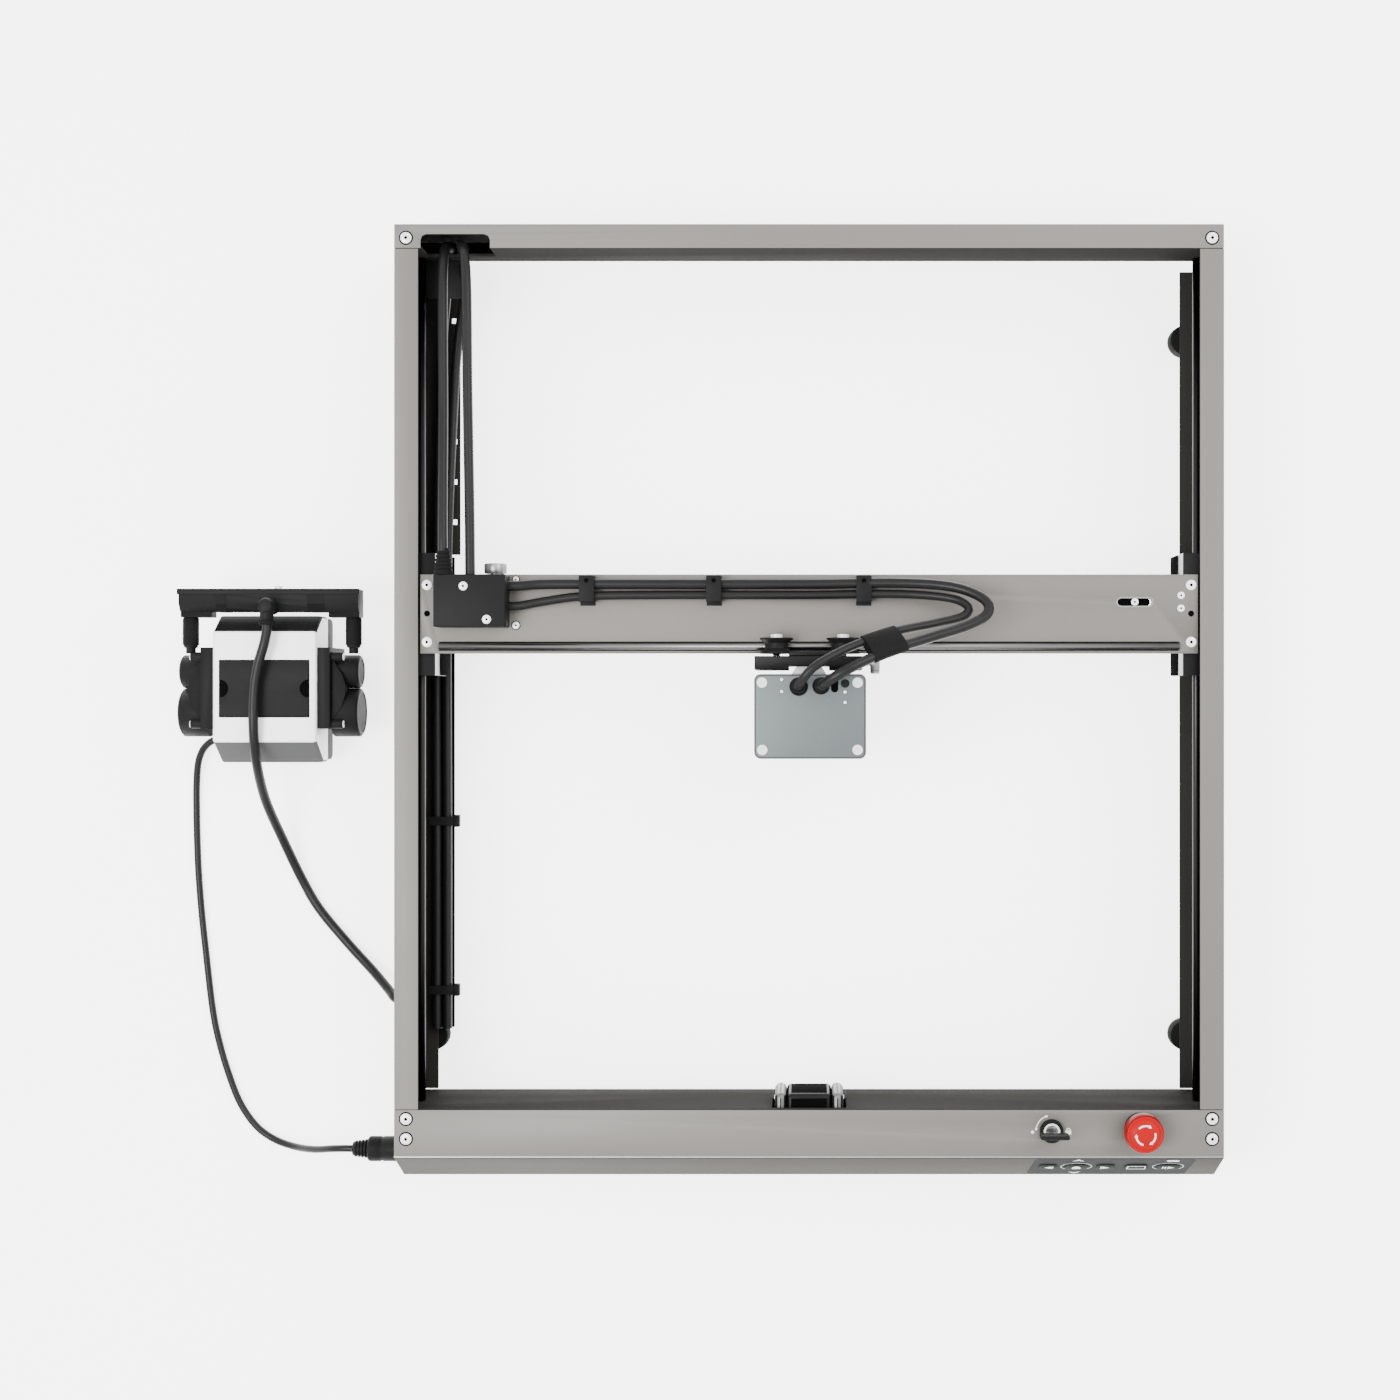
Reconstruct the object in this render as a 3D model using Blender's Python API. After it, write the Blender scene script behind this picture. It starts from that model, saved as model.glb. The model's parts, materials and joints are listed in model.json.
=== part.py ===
"""Desktop laser cutter with its air pump, in metres, +Z up.

The origin is on the floor under the middle of the machine and pump together.
The sizes below are in millimetres and are turned into metres by MM.
"""

import math

import bmesh
import bpy
from mathutils import Matrix, Vector

MM = 0.001
GAP = 0.3  # between touching solids

# Everything stands on one layout whose shift brings the whole object's middle to the origin.
LAYOUT_X = -3.5

# Machine frame. Its own middle is at x = 0 under the "machine" empty.
MACHINE_X = 85.0
HALF_W = 288.5
REAR_Y = 334.3
FRONT_Y = -334.3
TOP_Z = 92.0
FOOT_H = 14.0
SHEET = 2.0
FLANGE = 16.7
HOUSING_REAR_Y = -281.5
FOLD_Y = -314.8
FOLD_Z = 58.0
RAIL_FRONT_Y = HOUSING_REAR_Y + GAP
RAIL_REAR_Y = REAR_Y - FLANGE - GAP

# Y axis: guide rods, belts and shaft inside the side rails.
GUIDE_X = 275.5
GUIDE_Z = 60.0
GUIDE_R = 3.0
BELT_X = 283.5
BELT_Z = 61.0
PULLEY_R = 6.0
SHAFT_Y = -289.0
IDLER_Y = 300.0
Y_WHEEL_R = 10.0
Y_GROOVE_R = 7.3

# Controls.
STOP = (230.3, -294.4)
LOCK = (168.5, -296.0)
KEY_LIFT = 0.5  # a panel key at rest above the panel
KEY_THICK = 0.5
PLAIN_KEY = 6.5  # half widths of the panel keys
WIDE_KEY = 8.0
PANEL_KEYS = (
    ("back_key", 168.0, PLAIN_KEY), ("home_key", 188.0, WIDE_KEY), ("forward_key", 208.5, PLAIN_KEY),
    ("frame_key", 230.0, WIDE_KEY), ("start_key", 252.5, WIDE_KEY),
)

# Gantry.
GANTRY_FRONT_Y = 35.9
GANTRY_REAR_Y = 91.0
GANTRY_Z = (86.0, 89.0)
BRACKET_X = (261.0, 265.0)
X_ROD_Y = 40.9
X_ROD_Z = 90.0
X_ROD_R = 2.5
X_WHEEL_Z = 100.8
X_WHEEL_X = (-22.5, 23.5)
BOX_RIGHT = -208.5  # junction box
CLIPPED_Z = 104.0  # leads leaving the gantry towards the rear notch

# Laser head.
HEAD_X = (-37.0, 38.4)
HEAD_Y = (-36.1, 21.0)
HEAD_Z = (52.0, 138.0)

# Air pump, placed by its own empty.
PUMP = (-302.5, 6.0)
PUMP_HALF_W = 37.0
MANIFOLD_X = (-60.5, 67.0)
ARM_X = (-55.2, 61.4)
OUTLET_X = 4.5
MANIFOLD_END = 22.0

# Air hose and pump lead.
HOSE_D = 7.0
HELD_D = 7.0  # leads and air lines clipped to the machine
THIN_D = 6.0
HOSE_PORT = (-214.0, 26.0)
LEAD_D = 5.2
PLUG = (-320.0, 40.0)

COLORS = {
    "frame_paint": ((0.40, 0.38, 0.35), 0.45, 0.6),
    "black_metal": ((0.03, 0.03, 0.03), 0.5, 0.4),
    "steel": ((0.62, 0.62, 0.62), 0.3, 1.0),
    "silver": ((0.55, 0.55, 0.56), 0.35, 0.9),
    "head_grey": ((0.33, 0.37, 0.38), 0.45, 0.7),
    "black_plastic": ((0.03, 0.03, 0.03), 0.55, 0.0),
    "white_plastic": ((0.85, 0.85, 0.86), 0.35, 0.0),
    "red_plastic": ((0.8, 0.02, 0.03), 0.3, 0.0),
    "rubber": ((0.02, 0.02, 0.02), 0.7, 0.0),
    "cord": ((0.025, 0.025, 0.025), 0.5, 0.0),
    "shield": ((0.75, 0.25, 0.05), 0.15, 0.0),
}


# Tools -------------------------------------------------------------------


def clear_scene():
    for obj in list(bpy.data.objects):
        bpy.data.objects.remove(obj)


def material(name):
    made = bpy.data.materials.get(name)
    if made:
        return made
    made = bpy.data.materials.new(name)
    made.use_nodes = True
    shader = made.node_tree.nodes["Principled BSDF"]
    color, roughness, metallic = COLORS[name]
    shader.inputs["Base Color"].default_value = (*color, 1)
    shader.inputs["Roughness"].default_value = roughness
    shader.inputs["Metallic"].default_value = metallic
    return made


def add_object(name, data, place, parent, look):
    obj = bpy.data.objects.new(name, data)
    bpy.context.scene.collection.objects.link(obj)
    obj.location = Vector(place) * MM
    obj.parent = parent
    if look:
        data.materials.append(material(look))
    return obj


def mesh_object(name, shape, place, parent, look):
    """An object from a bmesh drawn in millimetres around its own origin."""
    bmesh.ops.scale(shape, vec=(MM, MM, MM), verts=shape.verts)
    bmesh.ops.recalc_face_normals(shape, faces=shape.faces)
    mesh = bpy.data.meshes.new(name)
    shape.to_mesh(mesh)
    shape.free()
    mesh.shade_smooth()
    mesh.set_sharp_from_angle(angle=math.radians(35))
    return add_object(name, mesh, place, parent, look)


def box_shape(xs, ys, zs):
    shape = bmesh.new()
    bmesh.ops.create_cube(shape, size=1)
    size = (xs[1] - xs[0], ys[1] - ys[0], zs[1] - zs[0])
    middle = (sum(xs) / 2, sum(ys) / 2, sum(zs) / 2)
    bmesh.ops.scale(shape, vec=size, verts=shape.verts)
    bmesh.ops.translate(shape, vec=middle, verts=shape.verts)
    return shape


def bevel_along(shape, axis, width, segments=2):
    """Rounds the edges that run along one axis, 0 for X to 2 for Z."""
    edges = []
    for edge in shape.edges:
        along = (edge.verts[1].co - edge.verts[0].co).normalized()
        if abs(along[axis]) > 0.99:
            edges.append(edge)
    bmesh.ops.bevel(shape, geom=edges, offset=width, segments=segments, profile=0.5, affect="EDGES")
    return shape


def box(name, xs, ys, zs, parent, look, place=(0, 0, 0), round_axis=2, radius=0.0):
    shape = box_shape(xs, ys, zs)
    if radius:
        bevel_along(shape, round_axis, radius)
    return mesh_object(name, shape, place, parent, look)


def prism(name, outline, axis, span, parent, look, place=(0, 0, 0)):
    """An outline pushed along an axis. For X it is (y, z), for Y (x, z), for Z (x, y)."""
    shape = bmesh.new()
    low = []
    for a, b in outline:
        at = {0: (span[0], a, b), 1: (a, span[0], b), 2: (a, b, span[0])}[axis]
        low.append(shape.verts.new(at))
    face = shape.faces.new(low)
    pushed = bmesh.ops.extrude_face_region(shape, geom=[face])
    moved = [v for v in pushed["geom"] if isinstance(v, bmesh.types.BMVert)]
    step = [0, 0, 0]
    step[axis] = span[1] - span[0]
    bmesh.ops.translate(shape, vec=step, verts=moved)
    return mesh_object(name, shape, place, parent, look)


def lathe_shape(profile, sides):
    """A closed turned solid about Z from (radius, height) points, ends on the axis."""
    shape = bmesh.new()
    rings = []
    for radius, height in profile:
        if radius < 1e-6:
            rings.append([shape.verts.new((0, 0, height))])
            continue
        angles = [2 * math.pi * i / sides for i in range(sides)]
        ring = [shape.verts.new((radius * math.cos(a), radius * math.sin(a), height)) for a in angles]
        rings.append(ring)
    for low, high in zip(rings, rings[1:]):
        for i in range(sides):
            j = (i + 1) % sides
            if len(low) == 1:
                shape.faces.new((low[0], high[i], high[j]))
            elif len(high) == 1:
                shape.faces.new((low[i], high[0], low[j]))
            else:
                shape.faces.new((low[i], high[i], high[j], low[j]))
    return shape


AXIS_TURN = {
    "+Z": Matrix.Identity(3),
    "+X": Matrix.Rotation(math.radians(90), 3, "Y"),
    "-X": Matrix.Rotation(math.radians(-90), 3, "Y"),
    "+Y": Matrix.Rotation(math.radians(-90), 3, "X"),
    "-Y": Matrix.Rotation(math.radians(90), 3, "X"),
}


def lathe(name, profile, axis, place, parent, look, sides=16):
    """A turned solid whose profile heights run along the given axis from place."""
    points = [(0, profile[0][1]), *profile, (0, profile[-1][1])]
    shape = lathe_shape(points, sides)
    bmesh.ops.rotate(shape, cent=(0, 0, 0), matrix=AXIS_TURN[axis], verts=shape.verts)
    return mesh_object(name, shape, place, parent, look)


def cut(obj, *cutters):
    """Cuts hidden helper solids out of an object."""
    for cutter in cutters:
        cutter.hide_render = True
        cutter.display_type = "WIRE"
        modifier = obj.modifiers.new("cut_" + cutter.name, "BOOLEAN")
        modifier.object = cutter
    return obj


def join(obj, *others):
    """Adds hidden helper solids to an object."""
    for other in others:
        other.hide_render = True
        other.display_type = "WIRE"
        modifier = obj.modifiers.new("join_" + other.name, "BOOLEAN")
        modifier.operation = "UNION"
        modifier.object = other
    return obj


def smooth_route(points, step):
    """Points every step along the Catmull-Rom curve through the given ones."""
    ends = [Vector(p) for p in points]
    ends = [2 * ends[0] - ends[1], *ends, 2 * ends[-1] - ends[-2]]
    fine = []
    for a, b, c, d in zip(ends, ends[1:], ends[2:], ends[3:]):
        for i in range(24):
            t = i / 24
            fine.append(
                0.5 * (2 * b + (c - a) * t + (2 * a - 5 * b + 4 * c - d) * t**2
                       + (3 * b - a - 3 * c + d) * t**3)
            )
    fine.append(ends[-2])
    total = sum((q - p).length for p, q in zip(fine, fine[1:]))
    count = max(2, round(total / step))
    route, walked, target = [fine[0]], 0.0, total / count
    for p, q in zip(fine, fine[1:]):
        length = (q - p).length
        while len(route) < count and walked + length >= target * len(route):
            route.append(p.lerp(q, (target * len(route) - walked) / length))
        walked += length
    route.append(fine[-1])
    return route


def tube(name, points, diameter, parent, look, step, resolution=2):
    """A cord: a round tube along the smooth curve through its points."""
    curve = bpy.data.curves.new(name, "CURVE")
    curve.dimensions = "3D"
    curve.bevel_depth = diameter / 2 * MM
    curve.bevel_resolution = resolution
    curve.use_fill_caps = True
    route = smooth_route(points, step)
    spline = curve.splines.new("POLY")
    spline.points.add(len(route) - 1)
    for point, at in zip(spline.points, route):
        point.co = (*(at * MM), 1)
    return add_object(name, curve, (0, 0, 0), parent, look)


def empty(name, place, parent=None):
    made = bpy.data.objects.new(name, None)
    bpy.context.scene.collection.objects.link(made)
    made.location = Vector(place) * MM
    made.parent = parent
    return made


# Frame -------------------------------------------------------------------


def rail_outline(side):
    """A C section open to the inside; side is -1 on the left and 1 on the right."""
    outer, wall, lip = HALF_W, HALF_W - SHEET, HALF_W - FLANGE
    low, high = FOOT_H + GAP, TOP_Z
    points = [
        (outer, low), (outer, high), (lip, high), (lip, high - SHEET),
        (wall, high - SHEET), (wall, low + SHEET), (lip, low + SHEET), (lip, low),
    ]
    return [(side * x, z) for x, z in points]


def side_rails(machine):
    left = prism("left_rail", rail_outline(-1), 1, (RAIL_FRONT_Y, RAIL_REAR_Y), machine, "frame_paint")
    prism("right_rail", rail_outline(1), 1, (RAIL_FRONT_Y, RAIL_REAR_Y), machine, "frame_paint")
    inner = HALF_W - FLANGE
    tray = box("tray_helper", (-inner - 4, -inner + 16), (110, 316), (FOOT_H + GAP, FOOT_H + GAP + SHEET),
               machine, None)
    join(left, tray)
    port = lathe("port_cutter", [(5, 0), (5, 12)], "-X", (-HALF_W + 5, *HOSE_PORT), machine, None, 12)
    cut(left, port)
    for i in range(6):
        hole = box(f"tray_hole_{i}", (-262, -258), (132 + 29.5 * i, 136 + 29.5 * i), (10, 20), machine, None)
        cut(left, hole)


def rear_rail(machine):
    low = 50.0
    inner = REAR_Y - FLANGE
    outline = [
        (REAR_Y, FOOT_H + GAP), (REAR_Y, TOP_Z), (inner, TOP_Z), (inner, low), (inner + SHEET, low),
        (inner + SHEET, TOP_Z - SHEET), (REAR_Y - SHEET, TOP_Z - SHEET), (REAR_Y - SHEET, FOOT_H + GAP),
    ]
    rail = prism("rear_rail", outline, 0, (-HALF_W, HALF_W), machine, "frame_paint")
    ends = [
        box(f"rail_end_{side}", sorted((side * (HALF_W - SHEET), side * HALF_W)), (inner + 0.5, REAR_Y - 0.5),
            (FOOT_H + GAP, TOP_Z - 0.5), machine, None)
        for side in (-1, 1)
    ]
    join(rail, *ends)
    notch = box("notch_cutter", (-270, -222), (inner - 5, inner + 9.7), (66, TOP_Z + 5), machine, None,
                radius=4)
    cut(rail, notch)


def front_housing(machine):
    top, low = TOP_Z, FOOT_H + 3.0
    outer = [(HOUSING_REAR_Y, low), (HOUSING_REAR_Y, top), (FOLD_Y, top), (FRONT_Y, FOLD_Z), (FRONT_Y, low)]
    housing = prism("front_housing", outer, 0, (-HALF_W, HALF_W), machine, "frame_paint")
    inner = [
        (HOUSING_REAR_Y - SHEET, low - 5), (HOUSING_REAR_Y - SHEET, top - SHEET), (FOLD_Y, top - SHEET),
        (FRONT_Y + SHEET, FOLD_Z - 1), (FRONT_Y + SHEET, low - 5),
    ]
    hollow = prism("housing_hollow", inner, 0, (-HALF_W + SHEET, HALF_W - SHEET), machine, None)
    window = box("motor_window", (-26, 26), (-290, -270), (36, 84), machine, None)
    belts = [
        box(f"belt_window_{side}", (side * BELT_X - 4, side * BELT_X + 2.8), (-290, -270), (50, 72),
            machine, None)
        for side in (-1, 1)
    ]
    socket = lathe("socket_hole", [(8, 0), (8, 12)], "-X", (-HALF_W + 5, *PLUG), machine, None, 16)
    inlet = box("inlet_hole", (HALF_W - 5, HALF_W + 5), (-322, -302), (28, 44), machine, None)
    stop = lathe("stop_hole", [(9, 0), (9, 10)], "+Z", (*STOP, TOP_Z - 5), machine, None, 20)
    lock = lathe("lock_hole", [(6, 0), (6, 10)], "+Z", (*LOCK, TOP_Z - 5), machine, None, 16)
    cut(housing, hollow, window, *belts, socket, inlet, stop, lock)
    box("front_base", (-HALF_W + 1, HALF_W - 1), (FRONT_Y + 1, HOUSING_REAR_Y - 1), (FOOT_H + GAP, low - GAP),
        machine, "black_metal")


def feet(machine):
    for name, x, y in (
        ("foot_rear_left", -276.5, 268.0), ("foot_rear_right", 276.5, 268.0),
        ("foot_front_left", -276.5, -243.0), ("foot_front_right", 276.5, -243.0),
    ):
        lathe(name, [(8, 0), (11.5, 1.5), (11, FOOT_H)], "+Z", (x, y, 0), machine, "rubber", 20)


# Y drive -----------------------------------------------------------------


def belt_outline(y0, y1, z, radius, thick, turns=8):
    """Outer and inner outlines of a belt loop round two pulleys, as (y, z)."""
    loops = []
    for r in (radius + thick, radius):
        points = []
        for centre, start in ((y1, -90), (y0, 90)):
            for i in range(turns + 1):
                a = math.radians(start + 180 * i / turns)
                points.append((centre + r * math.cos(a), z + r * math.sin(a)))
        loops.append(points)
    return loops


def belt(name, ends, z, radius, span, axis, parent, place=(0, 0, 0)):
    outer, inner = belt_outline(ends[0], ends[1], z, radius, 1.3)
    loop = prism(name, outer, axis, span, parent, "rubber", place)
    hollow = prism(name + "_hollow", inner, axis, (span[0] - 2, span[1] + 2), parent, None, place)
    cut(loop, hollow)


def y_drive(machine):
    for side, word in ((-1, "left"), (1, "right")):
        x = side * GUIDE_X
        lathe(f"y_guide_{word}", [(GUIDE_R, RAIL_FRONT_Y + GAP), (GUIDE_R, RAIL_REAR_Y - GAP)], "+Y",
              (x, 0, GUIDE_Z), machine, "steel", 12)
        belt_span = sorted((side * (BELT_X - 2), side * (BELT_X + 2)))
        belt(f"y_belt_{word}", (SHAFT_Y, IDLER_Y), BELT_Z, PULLEY_R + GAP, belt_span, 0, machine)
        idler = [(2, -2.6), (2, -2.2), (PULLEY_R, -2.2), (PULLEY_R, 2.2), (2, 2.2), (2, 2.6)]
        lathe(f"y_idler_{word}", idler, "+X", (side * BELT_X, IDLER_Y, BELT_Z), machine, "silver", 16)
    end = BELT_X + 2.4
    shaft = [
        (2.5, -end), (PULLEY_R, -end), (PULLEY_R, -end + 4.8), (2.5, -end + 4.8),
        (2.5, end - 4.8), (PULLEY_R, end - 4.8), (PULLEY_R, end), (2.5, end),
    ]
    lathe("y_drive_shaft", shaft, "+X", (0, SHAFT_Y, BELT_Z), machine, "steel", 16)
    motor = box("y_motor", (-24, 24), (-313, -271.5), (41, 83), machine, "black_metal",
                round_axis=0, radius=3)
    bore = lathe("motor_bore", [(3.2, -40), (3.2, 40)], "+X", (0, SHAFT_Y, BELT_Z), machine, None, 12)
    cut(motor, bore)


# Controls ----------------------------------------------------------------


def controls(machine):
    stop = empty("stop_axis", (*STOP, TOP_Z), machine)
    collar = lathe("stop_collar", [(8.6, -6), (8.6, GAP), (11.5, GAP), (10.5, 5)], "+Z", (0, 0, 0), stop,
                   "black_plastic", 20)
    bore = lathe("collar_bore", [(5, -10), (5, 10)], "+Z", (0, 0, 0), stop, None, 16)
    cut(collar, bore)
    lathe("stop_button", [(4.6, -4), (4.6, 10), (12.6, 10), (13.4, 12), (13.4, 18), (12, 21), (7, 22.5)],
          "+Z", (0, 0, 0), stop, "red_plastic", 24)
    lock = empty("lock_axis", (*LOCK, TOP_Z), machine)
    barrel = lathe("key_lock", [(5.7, -12), (5.7, GAP), (7.5, GAP), (7, 3)], "+Z", (0, 0, 0), lock,
                   "steel", 20)
    bore = lathe("lock_bore", [(4.3, -8), (4.3, 5)], "+Z", (0, 0, 0), lock, None, 16)
    cut(barrel, bore)
    outline = [
        (-3.5, -5), (3.5, -5), (3.5, 9), (10, 10.5), (10, 22), (8, 24), (-8, 24), (-10, 22),
        (-10, 10.5), (-3.5, 9),
    ]
    prism("switch_key", outline, 1, (-0.9, 0.9), lock, "black_plastic")


def panel_keys(machine):
    """Push keys on the sloping panel, each proud of it along the panel's normal."""
    run, drop = FOLD_Y - FRONT_Y, TOP_Z - FOLD_Z
    tilt = math.atan2(drop, run)
    panel = empty("panel_axis", (0, (FOLD_Y + FRONT_Y) / 2, (TOP_Z + FOLD_Z) / 2), machine)
    panel.rotation_euler = (tilt, 0, 0)
    for name, x, half in PANEL_KEYS:
        box(name, (-half, half), (-5.5, 5.5), (KEY_LIFT, KEY_LIFT + KEY_THICK), panel, "black_plastic",
            (x, 0, 0), radius=3)


def ports(machine):
    """Socket for the pump's plug on the left, and the machine's own power inlet on the right."""
    profile = [(7.7, 0.5), (7.7, 8), (4, 8), (4, 14)]
    lathe("pump_socket", profile, "+X", (-HALF_W, *PLUG), machine, "black_plastic", 16)
    inlet = box("power_inlet", (HALF_W - 14, HALF_W - 0.5), (-321.6, -302.4), (28.4, 43.6), machine,
                "black_plastic")
    recess = box("inlet_recess", (HALF_W - 9, HALF_W + 2), (-318, -306), (31, 41), machine, None)
    cut(inlet, recess)
    gland = [(2, 0), (4.6, 0), (4.6, 3), (7, 3), (6, 7), (2, 7)]
    lathe("hose_port", gland, "-X", (-HALF_W + 2.6, *HOSE_PORT), machine, "black_plastic", 16)


# Gantry ------------------------------------------------------------------


def gantry(machine):
    plate = box("gantry_plate", (-271, 271), (GANTRY_FRONT_Y, GANTRY_REAR_Y), GANTRY_Z, machine,
                "frame_paint")
    slot = box("rod_slot", (-258, 258), (X_ROD_Y - 3.1, X_ROD_Y + 3.1), (80, 95), machine, None)
    adjust = box("adjust_slot", (215, 239), (69.2, 74.2), (80, 95), machine, None, radius=2.4)
    cut(plate, slot, adjust)
    lathe("x_guide", [(X_ROD_R, -257.6), (X_ROD_R, 257.6)], "+X", (0, X_ROD_Y, X_ROD_Z), machine, "steel", 12)
    for side, word in ((-1, "left"), (1, "right")):
        web, cover = BRACKET_X
        outline = [(web, 42), (cover, 42), (cover, 82), (284, 82), (284, 85.7), (web, 85.7)]
        prism(f"gantry_bracket_{word}", [(side * x, z) for x, z in outline], 1, (20.6, 106.2), machine,
              "silver")
    box("x_motor", (-253, -211), (48, 90), (44, 85.7), machine, "black_metal", radius=3)
    box("junction_box", (-258, BOX_RIGHT), (53.8, 89.9), (GANTRY_Z[1] + GAP, 110), machine, "black_plastic",
        radius=1)


def wheel_profile(outer, groove, half, stub, stub_r=2.5):
    """A V wheel centred on its own origin, with its axle stub on the low side."""
    flat = half * 0.35
    return [
        (stub_r, -half - stub), (stub_r, -half), (outer, -half), (outer, -half + 1), (groove, -flat),
        (groove, flat), (outer, half - 1), (outer, half),
    ]


def wheels(machine):
    for side, word in ((-1, "left"), (1, "right")):
        for end, y in (("front", 33.0), ("rear", 94.0)):
            z = GUIDE_Z + GUIDE_R + GAP + Y_GROOVE_R
            profile = wheel_profile(Y_WHEEL_R, Y_GROOVE_R, 5, GUIDE_X - 5 - BRACKET_X[1] - GAP)
            lathe(f"y_wheel_{word}_{end}", profile, "+X" if side > 0 else "-X",
                  (side * GUIDE_X, y, z), machine, "black_plastic", 20)
    for word, x in zip(("left", "right"), X_WHEEL_X):
        profile = wheel_profile(11.5, 8, 5.5, 1.4)
        lathe(f"x_wheel_{word}", profile, "+Y", (x, X_ROD_Y, X_WHEEL_Z), machine, "black_plastic", 20)


# Laser head --------------------------------------------------------------


def laser_head(machine):
    carriage = box("head_carriage", (-37.5, 36.5), (24.3, 33.7), (60, 112), machine, "black_metal")
    groove = box("dovetail_cut", (-14, 14), (22, 27), (58, 114), machine, None)
    cut(carriage, groove)
    body = box("laser_body", HEAD_X, HEAD_Y, HEAD_Z, machine, "head_grey", radius=4)
    tail = box("dovetail_helper", (-12, 12), (20, 26.5), (60, 134), machine, None)
    shield = box("laser_shield", (-35, 36), (-33, 18), (30, HEAD_Z[0] - GAP), machine, "shield", radius=4)
    hollow = box("shield_hollow", (-33, 34), (-31, 16), (20, 60), machine, None)
    cut(shield, hollow)
    nozzle = [(11, 0), (11, -6), (6, -9), (5, -18), (2.5, -20)]
    tip = lathe("nozzle_helper", list(reversed(nozzle)), "+Z", (0.7, -8, HEAD_Z[0] + 1), machine, None, 16)
    join(body, tail, tip)
    knob = [(2, 0), (2, 6), (7.5, 6), (7.5, 12)]
    lathe("height_knob", knob, "+X", (36.8, 29, 98), machine, "steel", 16)


# Cables held by the machine ------------------------------------------------


def held_cables(machine):
    """Leads clipped between housings: each is whole along its real route."""
    tube("lead_to_gantry",
         [(-252, 90.4, CLIPPED_Z), (-252.5, 120, CLIPPED_Z), (-254, 200, 94), (-255, 280, 90),
          (-256, 311, 82), (-256, 323, 71), (-256, 326, 54)],
         HELD_D, machine, "cord", 20)
    tube("air_to_gantry",
         [(-233.5, 90.4, CLIPPED_Z), (-234, 130, 103), (-236, 220, 100), (-237, 285, 98),
          (-239.5, 311, 92), (-243.5, 321, 82), (-246, 325, 68), (-246, 326, 54)],
         HELD_D, machine, "cord", 16)
    tube("lead_on_rail",
         [(-271.5, -236, 22.5), (-271.5, -100, 22.5), (-271.5, 100, 22.5), (-268, 240, 24),
          (-263, 290, 35), (-257, 310, 50)],
         HELD_D, machine, "cord", 30)
    tube("air_on_rail",
         [(-264, -236, 22.5), (-264, -100, 22.5), (-264, 100, 22.5), (-258, 240, 24),
          (-250, 290, 38), (-245.5, 312, 60)],
         HELD_D, machine, "cord", 30)
    lead_z = GANTRY_Z[1] + GAP + 4.4
    tube("lead_to_head",
         [(-207.4, 82.5, 96), (-200, 82.8, 95.6), (-180, 84, lead_z), (-110, 84, lead_z),
          (0, 84, lead_z), (60, 84.5, 98), (98, 81.5, 105), (119, 73, 113), (122, 63, 119),
          (108, 54, 127), (80, 45, 138), (52, 36, 147), (26, 24, 156), (11, 15, 151), (8, 13, 139.6)],
         HELD_D, machine, "cord", 15)
    air_z = GANTRY_Z[1] + GAP + 3.8
    tube("air_to_head",
         [(-207.6, 68.6, 94), (-200, 69, 93.8), (-184, 72, 93.2), (-155, 75.6, air_z),
          (-100, 76.4, air_z), (0, 76.4, air_z), (60, 77, 96), (96, 74, 103), (109, 67.5, 110),
          (105, 60.5, 116), (86, 55.5, 124), (58, 49.5, 135), (28, 39, 148), (4, 26, 156),
          (-6, 14.5, 151), (-7, 12.5, 139)],
         THIN_D, machine, "cord", 14)


# Pump ----------------------------------------------------------------------


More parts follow.
